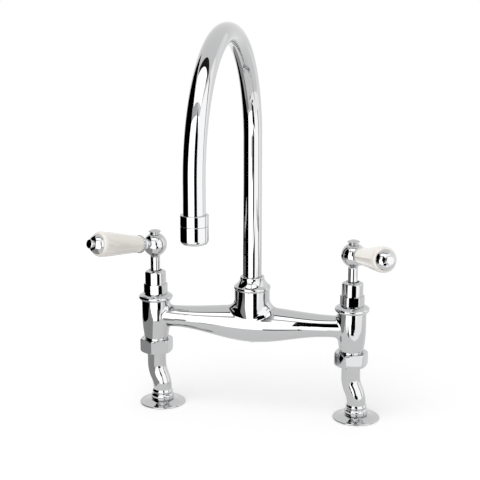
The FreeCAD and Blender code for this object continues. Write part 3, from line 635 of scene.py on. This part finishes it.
# Solid of the casting: rough shells, one even net of cells round them, its points moved onto the
# field's zero by p - f(p) g / |g|^2, with g the slopes
def bridgeNet():
    v = bridgeShape
    places = np.linspace(-halfSpan, halfSpan, 81)
    radii = v["armRadius"] + (v["bellyRadius"] - v["armRadius"]) * bellyShare(places)
    along = np.array([[0, places[0]], *np.stack([radii, places], 1), [0, places[-1]]])

    def armPath(s):
        one = np.ones((len(s), 1))
        centre = np.stack([s, 0 * s, v["axis"] - v["sag"] * bellyShare(s)], 1)
        return centre, one * np.array([0, 1.0, 0]), one * np.array([0, 0, 1.0])

    def upright(x):
        return straightPath((x, 0, 0), (0, 0, 1))

    heights = np.linspace(v["barrelBottom"] - 4, v["barrelTop"] + 4, 25)
    barrel = [(0, heights[0]), *zip(barrelRadius(heights), heights), (0, heights[-1])]
    boss = [(0, v["axis"]), (v["bossRadius"], v["axis"]), (v["bossRadius"], v["bossTop"] + 4),
            (0, v["bossTop"] + 4)]
    rough = rawShell("bridgeRough", [(along, armPath), (boss, upright(0)), (barrel, upright(-halfSpan)),
                                     (barrel, upright(halfSpan))], v["cell"])
    mesh = evaluatedMesh(rough)
    bpy.data.objects.remove(rough)
    spots = meshSpots(mesh)
    for _ in range(4):
        slope = bridgeSlope(spots)
        spots -= bridgeField(spots)[:, None] * slope / np.maximum((slope ** 2).sum(1), 0.2)[:, None]
    mesh.vertices.foreach_set("co", spots.ravel())
    return mesh


# Cuts the net flat at one height where |x| lies between two values, and closes the cut
def flatEnd(work, height, up, low, high):
    faces = [f for f in work.faces if low < abs(f.calc_center_median().x) < high]
    picked = set(faces)
    for face in faces:
        picked.update(face.verts, face.edges)
    bmesh.ops.bisect_plane(work, geom=list(picked), plane_co=(0, 0, height), plane_no=(0, 0, up),
                           clear_outer=True)
    bmesh.ops.holes_fill(work, edges=[e for e in work.edges if e.is_boundary])


# Radii and heights of the bores. The channel lies along x, from -channelReach to channelReach
boreShape = {"inlet": 6.5, "inletBottom": 60.0, "inletTop": 76.0, "throat": 5.0, "seat": 9.8,
             "seatBottom": 79.0, "seatTop": 115.0, "well": 7.2, "wellBottom": 90.4, "swivel": 10.05,
             "swivelBottom": 96.4, "nut": 14.5, "nutBottom": 115.6, "nutTop": 132.0,
             "channel": 6.0, "channelReach": 93.0, "channelHeight": 91.6}


# Bores as CAD has them: chambers and seats in the pillars, the swivel's well in the boss, and the
# channel that joins them
def bridgeBores():
    v = boreShape
    pillar = [(0, v["inletBottom"]), (v["inlet"], v["inletBottom"]), (v["inlet"], v["inletTop"]),
              (v["throat"], v["inletTop"]), (v["throat"], v["seatBottom"]), (v["seat"], v["seatBottom"]),
              (v["seat"], v["seatTop"]), (0, v["seatTop"])]
    boss = [(0, v["wellBottom"]), (v["well"], v["wellBottom"]), (v["well"], v["swivelBottom"]),
            (v["swivel"], v["swivelBottom"]), (v["swivel"], v["nutBottom"]), (v["nut"], v["nutBottom"]),
            (v["nut"], v["nutTop"]), (0, v["nutTop"])]
    reach, up = v["channelReach"], (0, 0, 1)
    channel = [(0, -reach), (v["channel"], -reach), (v["channel"], reach), (0, reach)]
    bores = {"leftBore": (pillar, (-halfSpan, 0, 0), up), "rightBore": (pillar, (halfSpan, 0, 0), up),
             "bossBore": (boss, (0, 0, 0), up),
             "channelBore": (channel, (0, 0, v["channelHeight"]), (1, 0, 0))}
    return [rawShell(name, [(outline, straightPath(origin, along))])
            for name, (outline, origin, along) in bores.items()]


# Net, flat ends and bores. On the skin a corner's normal is the field's slope g / |g|, and elsewhere
# its face's own
def makeBridge():
    v = bridgeShape
    work = bmesh.new()
    work.from_mesh(bridgeNet())
    flatEnd(work, v["barrelTop"], 1, v["bossSide"], v["farSide"])
    flatEnd(work, v["barrelBottom"], -1, v["bossSide"], v["farSide"])
    flatEnd(work, v["bossTop"], 1, 0, v["bossSide"])
    bmesh.ops.recalc_face_normals(work, faces=work.faces)
    mesh = bpy.data.meshes.new("bridgeSolid")
    work.to_mesh(mesh)
    work.free()
    solid = bpy.data.objects.new("bridgeSolid", mesh)
    scene.collection.objects.link(solid)
    shells = bridgeBores()
    for shell in shells:
        modifier = solid.modifiers.new(shell.name, "BOOLEAN")
        modifier.operation = "DIFFERENCE"
        modifier.solver = "EXACT"
        modifier.object = shell
    mesh = evaluatedMesh(solid)
    for piece in [solid] + shells:
        bpy.data.objects.remove(piece)
    spots = meshSpots(mesh)
    slope = bridgeSlope(spots)
    slope /= np.maximum(np.linalg.norm(slope, axis=1), 1e-9)[:, None]
    count = len(mesh.polygons)
    centres, faceNormals, sizes = np.empty(count * 3), np.empty(count * 3), np.empty(count, int)
    mesh.polygons.foreach_get("center", centres)
    mesh.polygons.foreach_get("normal", faceNormals)
    mesh.polygons.foreach_get("loop_total", sizes)
    centres, faceNormals = centres.reshape(-1, 3), faceNormals.reshape(-1, 3)
    corners = np.empty(len(mesh.loops), int)
    mesh.loops.foreach_get("vertex_index", corners)
    owner = np.repeat(np.arange(count), sizes)
    facing = (bridgeSlope(centres) * faceNormals).sum(1)
    skin = (np.abs(bridgeField(centres)) < v["skinGap"]) & (facing > v["skinLean"])
    normals = np.where(skin[owner][:, None], slope[corners], faceNormals[owner])
    spots += (spoutX, spoutY, 0)
    mesh.vertices.foreach_set("co", (spots * mm).ravel())
    mesh.shade_smooth()
    mesh.normals_split_custom_set(normals.tolist())
    mesh.materials.clear()
    print("bridge net:", count, "faces,", int(skin.sum()), "on the skin")
    finishPiece("bridgeCasting", mesh, materials["castChrome"], "mixer_body", ["bridge_body"])


# Threaded spigot below a barrel: the radius falls by the thread's depth at each pitch
def makeSpigot(name, sign):
    v = bridgeShape
    bore = boreShape["inlet"]
    turns = int((v["barrelBottom"] - 1.5 - v["spigotBottom"]) / v["pitch"])
    corners = [(bore, v["spigotBottom"]), (v["spigot"] - 0.6, v["spigotBottom"])]
    for turn in range(turns):
        low = v["spigotBottom"] + 0.4 + turn * v["pitch"]
        corners += [(v["spigot"] - v["threadDepth"], low), (v["spigot"], low + 0.5 * v["pitch"])]
    corners += [(v["spigot"] - v["threadDepth"], v["barrelBottom"] - 1.0),
                (v["spigot"] - v["threadDepth"], v["barrelBottom"]), (bore, v["barrelBottom"])]
    sweptPiece(name + "Spigot", roundedOutline(corners, True), pillarPath(sign), True,
               materials["castChrome"], "mixer_body", replaced=["bridge_body"])


makeBridge()
print("bridge made")


# ---- legs, flanges and unions

legShape = {"radius": 9.4, "bore": 6.0, "bendBottom": 15.5, "bendTop": 42.0, "collar": 11.2,
            "top": 59.8, "spigot": 10.0, "hubTop": 3.8, "beadRadius": 11.7, "beadTop": 10.2,
            "lipTop": 14.6, "socket": 7.48, "socketDepth": 12.0, "collarBottom": 57.4}


# One outline from the foot's spigot over bead and lip, up the crank to the collar, and back down the bore
def makeLeg(name, sign):
    v = legShape
    spigot, bead, hub = v["spigot"], v["beadRadius"], v["hubTop"]
    corners = [(v["socket"], 0.0), (spigot, 0.0), (spigot, hub), (bead - 1.2, hub)]
    corners += curvePoints([(bead - 1.2, hub), (bead - 0.3, hub + 1.3), (bead, hub + 3.2),
                            (bead - 0.3, v["beadTop"] - 1.2), (bead - 1.3, v["beadTop"])], 5)[1:]
    corners += [(spigot - 0.3, v["beadTop"] + 0.5, 0.3)]
    corners += curvePoints([(spigot - 0.1, v["beadTop"] + 0.9), (spigot + 0.35, v["beadTop"] + 1.9),
                            (spigot + 0.25, v["lipTop"] - 1.6), (spigot - 0.25, v["lipTop"] - 0.5),
                            (v["radius"], v["lipTop"] + 0.3)], 5)
    corners += [(v["radius"], v["collarBottom"]), (v["collar"], v["collarBottom"]), (v["collar"], v["top"]),
                (v["bore"], v["top"]), (v["bore"], v["socketDepth"]), (v["socket"], v["socketDepth"])]
    path = legPath(sign, v["bendBottom"], v["bendTop"])
    outline = supported(roundedOutline(corners, True), True, longest=1.2)
    sweptPiece(name + "CrankedLeg", outline, path, True, chrome, "mixer_body", replaced=[name + "_leg"])


flangeShape = {"radius": 23.3, "rim": 1.2, "hubRadius": 12.6, "hubTop": 3.8, "hubBore": 10.05}


# Dished flange: an upright rim with a rounded edge, then a hollow slope up to the hub
def makeFlange(name, sign):
    v = flangeShape
    radius, rim = v["radius"], v["rim"]
    under = v["hubTop"] - 1.4
    corners = [(v["hubBore"], 0), (v["hubRadius"] - 0.8, 0), (v["hubRadius"] - 0.8, under - 0.6),
               (radius - 2.6, rim - 0.5), (radius - 2.6, 0), (radius, 0, 0.3)]
    corners += curvePoints([(radius, 0.7), (radius - 0.1, rim), (radius - 0.7, rim + 0.45),
                            (19.5, 1.95), (15.8, 2.75), (v["hubRadius"], v["hubTop"])], 7)
    corners += [(v["hubBore"], v["hubTop"])]
    path = straightPath((sign * halfSpan, 0, 0), (0, 0, 1))
    sweptPiece(name + "Flange", roundedOutline(corners, True), path, True, chrome, "mixer_body",
               replaced=[name + "_foot_flange"])


nutShape = {"flats": 30.0, "crown": 220.0, "bottom": 54.2, "top": 67.8, "lip": 3.2, "bore": 9.5,
            "thread": 11.45, "turn": {"left": 27.0, "right": 19.0}}


# Hexagon with its corners turned away top and bottom, and a lip inside that holds the leg's collar
def makeUnionNut(name, sign):
    v = nutShape
    low, top, corner = v["bottom"], v["top"], v["flats"] / 2 / math.cos(math.pi / 6)
    corners = [(v["bore"], low), (corner - 1.7, low, 0.3), (corner + 0.6, low + 1.3),
               (corner + 0.6, top - 1.1),
               (corner - 1.4, top, 0.3), (v["thread"], top, 0.3), (v["thread"], low + v["lip"]),
               (v["bore"], low + v["lip"])]
    outline = roundedOutline(corners, True)
    hexPiece(name + "UnionNut", outline, [(v["flats"], v["crown"])] * len(outline), v["turn"][name],
             pillarPath(sign), chrome, "mixer_body", [name + "_union_nut"])


# ---- valve covers

ringShape = {"radius": 17.2, "bottom": 109.4, "edge": 4.4, "top": 115.3, "inner": 9.85, "shelf": 10.8}


# Crowned edge and dome, each an arc through three points
def makeCoverRing(name, sign):
    v = ringShape
    radius, low, edge, shelf, top = v["radius"], v["bottom"], v["bottom"] + v["edge"], v["shelf"], v["top"]
    bead = arcThrough((radius - 1.3, low), (radius, low + 0.45 * v["edge"]), (radius - 1.5, edge), 14)
    middle = ((radius + shelf) / 2 - 0.4, (edge + top) / 2 + 0.35)
    dome = arcThrough((radius - 1.5, edge), middle, (shelf, top))
    corners = [(v["inner"], low)] + bead + dome[1:] + [(v["inner"], top)]
    sweptPiece(name + "CoverRing", roundedOutline(corners, True), pillarPath(sign), True, chrome,
               "mixer_body", replaced=[name + "_cover_ring"])


bonnetShape = {"lowFlats": 21.8, "highFlats": 20.2, "lowCrown": 50.0, "highCrown": 17.0,
               "bottom": 115.3, "step": 125.5, "top": 139.4,
               "recess": 6.4, "recessDepth": 1.5, "stemBore": 4.1, "shank": 9.8, "shankBottom": 99.0,
               "turn": {"left": 20.0, "right": 11.0}}


# Lower and upper hexagon in one outline, each with its own width across flats
def makeBonnet(name, sign):
    v = bonnetShape
    low, step, top = v["bottom"], v["step"], v["top"]
    lowCorner = v["lowFlats"] / 2 / math.cos(math.pi / 6)
    highCorner = v["highFlats"] / 2 / math.cos(math.pi / 6)
    lower = [(v["stemBore"], v["shankBottom"]), (v["shank"], v["shankBottom"], 0.3), (v["shank"], low),
             (lowCorner - 1.4, low), (lowCorner + 0.5, low + 1.1), (lowCorner + 0.5, step - 0.6),
             (lowCorner - 0.6, step, 0.2), (highCorner + 0.5, step)]
    dome = curvePoints([(highCorner + 0.5, top - 5.0), (highCorner - 0.4, top - 3.0),
                        (highCorner - 1.8, top - 1.1), (v["recess"] + 1.0, top)], 7)
    upper = dome + [(v["recess"], top, 0.15), (v["recess"], top - v["recessDepth"]),
                    (v["stemBore"], top - v["recessDepth"])]
    first, second = roundedOutline(lower, False), roundedOutline(upper, False)
    outline = np.concatenate([first, second])
    faces = [(v["lowFlats"], v["lowCrown"])] * (len(first) - 2)
    faces += [(v["highFlats"], v["highCrown"])] * (len(second) + 2)
    hexPiece(name + "Bonnet", outline, faces, v["turn"][name], pillarPath(sign), chrome, "mixer_body",
             [name + "_bonnet"])


# ---- lever handles

hubShape = {"ballRadius": 12.0, "stemRadius": 4.75, "stemBottom": 138.2, "bore": 4.05, "topBore": 4.4,
            "boreTop": 164.0, "neckRadius": 5.0, "neckStart": 6.5, "neckReach": 13.4, "rodRadius": 2.5}


# Ball and stem share one outline: the sphere's arc runs into the stem by a small hollow. The neck
# is a plain collar along the lever, let into the ball
def makeHub(name, sign):
    v = hubShape
    ball, centre, stem = v["ballRadius"], layout["ballHeight"], v["stemRadius"]
    south = math.degrees(math.asin((stem + 1.3) / ball))
    corners = [(v["bore"], v["stemBottom"]), (stem, v["stemBottom"], 0.3), (stem, centre - ball - 0.8)]
    joint = (ball * math.sin(math.radians(south)), centre - ball * math.cos(math.radians(south)))
    corners += curvePoints([(stem, centre - ball - 0.8), (stem + 0.3, centre - ball + 0.35), joint], 5)[1:]
    north = math.degrees(math.acos((v["topBore"] + 1.0) / ball))
    corners += arcPoints(0, centre, ball, south - 90 + 3, north, 40)
    shelf = centre + ball - 1.25
    corners += [(v["topBore"] + 0.9, shelf), (v["topBore"], shelf), (v["topBore"], v["boreTop"]),
                (v["bore"], v["boreTop"])]
    body = name + "_handle"
    sweptPiece(name + "Ball", roundedOutline(corners, True), pillarPath(sign), True, chrome, body,
               replaced=[name + "_handle_hub"])
    neck, start, reach = v["neckRadius"], v["neckStart"], v["neckReach"]
    collar = [(v["rodRadius"], start), (neck, start), (neck, reach, 0.25), (v["rodRadius"], reach)]
    sweptPiece(name + "LeverNeck", roundedOutline(collar, True), leverPath(sign), True, chrome, body,
               replaced=[name + "_handle_hub"])


capShape = {"radius": 6.2, "neck": 4.8, "seat": 176.8, "skirt": 2.9, "top": 181.5, "plugBottom": 170.2}


# Plug, hollow skirt and a dome of the radius (r^2 + h^2) / 2h over the edge of radius r, h high
def makeIndexCap(name, sign):
    v = capShape
    edge, rise = v["seat"] + v["skirt"], v["top"] - v["seat"] - v["skirt"]
    sphere = (v["radius"] ** 2 + rise ** 2) / (2 * rise)
    lean = math.degrees(math.asin(v["radius"] / sphere))
    corners = [(0, v["plugBottom"]), (v["neck"] - 0.45, v["plugBottom"]), (v["neck"] - 0.45, v["seat"]),
               (v["neck"] + 0.5, v["seat"], 0.2)]
    corners += curvePoints([(v["neck"] + 0.45, v["seat"] + 0.4), (v["neck"] - 0.3, v["seat"] + 1.5),
                            (v["neck"] + 0.4, edge - 1.0), (v["radius"] - 0.2, edge - 0.6),
                            (v["radius"], edge)], 5)
    corners += arcPoints(0, v["top"] - sphere, sphere, 90 - lean, 90, 14)[1:]
    corners[-1] = (0, v["top"])
    sweptPiece(name + "IndexCap", roundedOutline(corners, False), pillarPath(sign), False, chrome,
               name + "_handle", replaced=[name + "_index_cap"])


leverShape = {"rod": 2.5, "neck": 5.0, "start": 13.4, "cup": 21.0, "cupRadius": 8.9,
              "sleeveRadii": (8.4, 8.95, 9.8, 10.8, 11.8, 12.3), "sleeveEnd": 76.4,
              "endCap": 9.8, "endCapLength": 7.0, "knob": 4.4, "knobLength": 2.7}


# Bead, waist and a cup that opens round the porcelain
def makeFerrule(name, sign):
    v = leverShape
    neck, start, cup, wide = v["neck"], v["start"], v["cup"], v["cupRadius"]
    corners = [(v["rod"], start)]
    corners += curvePoints([(neck + 0.4, start), (neck + 0.95, start + 0.85), (neck + 0.5, start + 1.7)], 6)
    corners += [(neck - 0.1, start + 2.3, 0.3), (neck - 0.1, start + 3.0)]
    corners += curvePoints([(neck - 0.05, start + 3.2), (neck + 0.5, start + 4.6), (neck + 1.9, start + 6.2),
                            (wide - 0.5, cup - 1.0), (wide, cup - 0.4)], 6)
    first = v["sleeveRadii"][0]
    corners += [(wide + 0.15, cup + 0.6, 0.2), (wide, cup + 2.3, 0.25), (first + 0.1, cup + 2.3, 0.1),
                (first + 0.1, cup), (v["rod"], cup)]
    sweptPiece(name + "Ferrule", roundedOutline(corners, True), leverPath(sign), True, chrome,
               name + "_handle", replaced=[name + "_lever_ferrule"])


# Porcelain: a smooth curve through the radii at even places, then a rounded shoulder
def makeSleeve(name, sign):
    v = leverShape
    radii, cup, end = v["sleeveRadii"], v["cup"], v["sleeveEnd"]
    reach = np.linspace(cup, end - 4.6, len(radii))
    swell = curvePoints(list(zip(radii, reach)), 10)
    shoulder = curvePoints([(radii[-1], end - 4.6), (radii[-1] - 0.15, end - 2.6),
                            (radii[-1] - 0.8, end - 1.1), (v["endCap"] + 0.3, end)], 6)
    corners = [(v["rod"] + 0.2, cup)] + swell + shoulder[1:] + [(v["rod"] + 0.2, end)]
    sweptPiece(name + "PorcelainGrip", roundedOutline(corners, True), leverPath(sign), True,
               materials["glazedPorcelain"], name + "_handle",
               replaced=[name + "_lever_sleeve"])


# Dome from the porcelain's end in to the knob, by a smooth curve
def makeEndCap(name, sign):
    v = leverShape
    base, wide = v["sleeveEnd"], v["endCap"]
    end = base + v["endCapLength"]
    dome = curvePoints([(wide, base + 0.6), (wide - 0.7, base + 2.6), (wide - 2.1, end - 2.5),
                        (wide - 3.9, end - 0.9), (v["knob"] - 0.6, end)], 8)
    corners = [(v["rod"], base), (wide - 0.3, base)] + dome + [(v["rod"], end)]
    sweptPiece(name + "EndCap", roundedOutline(corners, True), leverPath(sign), True, chrome,
               name + "_handle", replaced=[name + "_lever_end_cap"])


# Finial: a waist, then a disc with rounded edges and a face that rises slightly to the middle
def makeKnob(name, sign):
    v = leverShape
    start = v["sleeveEnd"] + v["endCapLength"]
    waist = start + 1.2
    end = waist + v["knobLength"]
    knob = v["knob"]
    corners = [(v["rod"], start), (knob - 0.9, start), (knob - 1.2, start + 0.6), (knob - 0.9, waist, 0.15),
               (knob, waist + 0.9, 0.3), (knob, end - 0.5, 0.35), (knob - 0.8, end, 0.3),
               (0, end + 0.2)]
    corners = [(0, start + 1.8), (v["rod"], start + 1.8)] + corners
    sweptPiece(name + "EndKnob", roundedOutline(corners, False), leverPath(sign), False, chrome,
               name + "_handle", replaced=[name + "_lever_knob"])


for name, sign in sides.items():
    makeSpigot(name, sign)
    makeLeg(name, sign)
    makeFlange(name, sign)
    makeUnionNut(name, sign)
    makeCoverRing(name, sign)
    makeBonnet(name, sign)
    makeHub(name, sign)
    makeIndexCap(name, sign)
    makeFerrule(name, sign)
    makeSleeve(name, sign)
    makeEndCap(name, sign)
    makeKnob(name, sign)
print("pillars and levers made")


# ---- finishes of the CAD nodes that stay

slotFinish = {"chrome": "polishedChrome", "porcelain": "glazedPorcelain", "disc_ceramic": "lappedCeramic",
              "brass": "machinedBrass", "rubber": "blackRubber", "thrust_plastic": "mouldedPlastic",
              "steel": "stainlessSteel"}
for entry in frame["record"]["subparts"]:
    mesh = nodes[entry["node"]].data
    mesh.materials.clear()
    mesh.materials.append(materials[slotFinish[entry["material_slot"]]])


# ---- camera

cameraShape = {"place": (0.2351, -1.1191, 0.4544), "yaw": -12.76, "pitch": 13.65, "lens": 90.0,
               "sensor": 36.0, "clip": (0.05, 20.0)}


# The line of sight is (sin yaw cos pitch, cos yaw cos pitch, -sin pitch)
def makeCamera():
    v = cameraShape
    data = bpy.data.cameras.new("photoCamera")
    data.lens = v["lens"]
    data.sensor_width = v["sensor"]
    data.clip_start, data.clip_end = v["clip"]
    camera = bpy.data.objects.new("photoCamera", data)
    yaw, pitch = math.radians(v["yaw"]), math.radians(v["pitch"])
    sight = Vector((math.sin(yaw) * math.cos(pitch), math.cos(yaw) * math.cos(pitch), -math.sin(pitch)))
    camera.rotation_euler = sight.to_track_quat("-Z", "Y").to_euler()
    camera.location = v["place"]
    scene.collection.objects.link(camera)
    scene.camera = camera


# ---- studio

studio = {
    "floor": {"x": (-1.6, 1.6), "y": (-0.255, 1.8), "colour": 0.86, "lift": 0.26},
    "world": {"shown": 1.0, "light": 0.62},
    "sun": {"strength": 1.15, "angle": 70.0, "from": (-0.35, -0.75, 1.0)},
    # upright cards that only reflections see: both ends in plan, bottom, tops at both ends and
    # brightness. The panels are dark strips before the front cards
    "cards": {
        "frontLeft": ((0.40, -0.68), (-0.72, -0.80), -0.35, (0.84, 0.90), 2.3),
        "frontRight": ((0.40, -0.68), (0.55, -0.035), -0.35, (0.84, 0.80), 1.8),
        "blackLeft": ((-0.60, -0.775), (-0.80, 0.45), -0.35, (1.10, 1.10), 0.0),
        "sideRight": ((0.56, 0.02), (0.62, 0.36), -0.05, (0.85, 0.85), 1.5),
        "backRight": ((0.62, 0.36), (0.45, 0.90), -0.05, (0.85, 0.85), 1.2),
        "gapRight": ((0.62, -0.16), (0.62, 0.10), -0.2, (0.80, 0.80), 0.02),
        "panelFoot": ((-0.006, -0.223), (0.050, -0.190), 0.0, (0.03, 0.03), 0.0),
        "panelHeel": ((0.100, -0.235), (0.185, -0.200), 0.0, (0.03, 0.03), 0.0),
        "panelLow": ((0.130, -0.450), (0.440, -0.500), -0.35, (0.045, 0.045), 0.0),
        "panelMiddle": ((0.130, -0.457), (0.385, -0.655), 0.045, (0.16, 0.16), 0.0),
        "panelHigh": ((0.034, -0.382), (0.385, -0.655), 0.16, (0.56, 0.56), 0.0),
    },
    # level rectangles that only reflections see: opposite corners in plan, height and brightness.
    # The two floor sheets hide the floor left of the faucet from reflections: painted shade, black far out
    # and grey nearer
    "levels": {
        "topRoof": ((-0.5, -0.08), (0.6, 0.7), 0.98, 1.0),
        "roofGap": ((-0.5, -0.26), (0.6, -0.04), 1.03, 0.02),
        # painted shade on the floor that only reflections see: black here, grey in the next sheet
        "paintedShadeFar": ((-1.6, -0.30), (-0.345, 0.6), 0.0006, 0.0),
        "paintedShadeNear": ((-0.345, -0.30), (-0.150, 0.6), 0.0006, 0.42),
    },
    # sheets that only reflections see, by their four corners and brightness. The floor sheet last in the
    # list hides the floor right of the faucet from reflections behind a bright glow, a painted reflection of
    # light
    "sheets": {
        "frontRoof": ((-0.45, -0.56, 0.85), (0.42, -0.56, 0.85), (0.42, -0.20, 0.98),
                      (-0.45, -0.20, 0.98), 2.2),
        "hemLeft": ((-0.55, -0.745, 0.80), (0.03, -0.70, 0.80), (0.03, -0.555, 0.87),
                    (-0.55, -0.555, 0.87), 0.7),
        "hemRight": ((0.03, -0.70, 0.80), (0.40, -0.665, 0.80), (0.42, -0.555, 0.87),
                     (0.03, -0.555, 0.87), 1.1),
        # painted reflection of light: a glowing sheet on the floor that only reflections see
        "paintedGlowRight": ((0.0, -0.256, 0.0006), (0.70, -0.256, 0.0006), (0.70, 0.3, 0.0006),
                       (0.36, -0.04, 0.0006), 1.5),
    },
}


# Matte paper, with the same added glow for the camera, reflections and glass
def makeFloor():
    v = studio["floor"]
    (x0, x1), (y0, y1) = v["x"], v["y"]
    mesh = bpy.data.meshes.new("studioFloor")
    mesh.from_pydata([(x0, y0, 0), (x1, y0, 0), (x1, y1, 0), (x0, y1, 0)], [], [(0, 1, 2, 3)])
    floor = bpy.data.objects.new("studioFloor", mesh)
    scene.collection.objects.link(floor)
    material = bpy.data.materials.new("paperFloor")
    material.use_nodes = True
    tree = material.node_tree
    tree.nodes.clear()
    put, link = tree.nodes.new, tree.links.new
    matte, glow, both, out = (put("ShaderNodeBsdfDiffuse"), put("ShaderNodeEmission"),
                              put("ShaderNodeAddShader"), put("ShaderNodeOutputMaterial"))
    matte.inputs["Color"].default_value = (v["colour"], v["colour"], v["colour"], 1)
    light, seen = put("ShaderNodeLightPath"), put("ShaderNodeMath")
    more, scaled = put("ShaderNodeMath"), put("ShaderNodeMath")
    seen.operation, more.operation, scaled.operation = "MAXIMUM", "MAXIMUM", "MULTIPLY"
    link(light.outputs["Is Camera Ray"], seen.inputs[0])
    link(light.outputs["Is Glossy Ray"], seen.inputs[1])
    link(seen.outputs[0], more.inputs[0])
    link(light.outputs["Is Transmission Ray"], more.inputs[1])
    link(more.outputs[0], scaled.inputs[0])
    scaled.inputs[1].default_value = v["lift"]
    link(scaled.outputs[0], glow.inputs["Strength"])
    link(matte.outputs[0], both.inputs[0])
    link(glow.outputs[0], both.inputs[1])
    link(both.outputs[0], out.inputs["Surface"])
    mesh.materials.append(material)


# White for the camera, reflections and glass, and the plain light level for everything else
def makeWorld():
    v = studio["world"]
    world = bpy.data.worlds.new("studioWorld")
    world.use_nodes = True
    tree = world.node_tree
    back = tree.nodes["Background"]
    back.inputs["Color"].default_value = (1, 1, 1, 1)
    put, link = tree.nodes.new, tree.links.new
    light, seen, more, span = (put("ShaderNodeLightPath"), put("ShaderNodeMath"), put("ShaderNodeMath"),
                               put("ShaderNodeMapRange"))
    seen.operation, more.operation = "MAXIMUM", "MAXIMUM"
    link(light.outputs["Is Camera Ray"], seen.inputs[0])
    link(light.outputs["Is Glossy Ray"], seen.inputs[1])
    link(seen.outputs[0], more.inputs[0])
    link(light.outputs["Is Transmission Ray"], more.inputs[1])
    link(more.outputs[0], span.inputs["Value"])
    span.inputs["To Min"].default_value = v["light"]
    span.inputs["To Max"].default_value = v["shown"]
    link(span.outputs["Result"], back.inputs["Strength"])
    scene.world = world


# A sun as wide as a big soft lamp, shining from the given direction
def makeSun():
    v = studio["sun"]
    data = bpy.data.lights.new("softSun", "SUN")
    data.energy = v["strength"]
    data.angle = math.radians(v["angle"])
    sun = bpy.data.objects.new("softSun", data)
    sun.rotation_euler = Vector(v["from"]).to_track_quat("Z", "Y").to_euler()
    sun.visible_glossy = False
    scene.collection.objects.link(sun)


# A flat card with a plain glow that only reflections see
def makeCard(name, corners, strength):
    mesh = bpy.data.meshes.new(name)
    mesh.from_pydata(corners, [], [(0, 1, 2, 3)])
    card = bpy.data.objects.new(name, mesh)
    scene.collection.objects.link(card)
    material = bpy.data.materials.new(name)
    material.use_nodes = True
    tree = material.node_tree
    tree.nodes.clear()
    glow, out = tree.nodes.new("ShaderNodeEmission"), tree.nodes.new("ShaderNodeOutputMaterial")
    glow.inputs["Strength"].default_value = strength
    tree.links.new(glow.outputs[0], out.inputs["Surface"])
    mesh.materials.append(material)
    for kind in ("camera", "diffuse", "shadow", "transmission", "volume_scatter"):
        setattr(card, "visible_" + kind, False)


# Floor, world, sun, and the cards, levels and sheets of the dictionary
def makeStudio():
    makeFloor()
    makeWorld()
    makeSun()
    for name, (start, end, low, tops, strength) in studio["cards"].items():
        corners = [(*start, low), (*end, low), (*end, tops[1]), (*start, tops[0])]
        makeCard(name + "Card", corners, strength)
    for name, ((x0, y0), (x1, y1), height, strength) in studio["levels"].items():
        corners = [(x0, y0, height), (x1, y0, height), (x1, y1, height), (x0, y1, height)]
        makeCard(name + "Card", corners, strength)
    for name, (*corners, strength) in studio["sheets"].items():
        makeCard(name + "Card", corners, strength)


makeCamera()
makeStudio()
scene.view_settings.view_transform = "Standard"
print("camera and studio made")
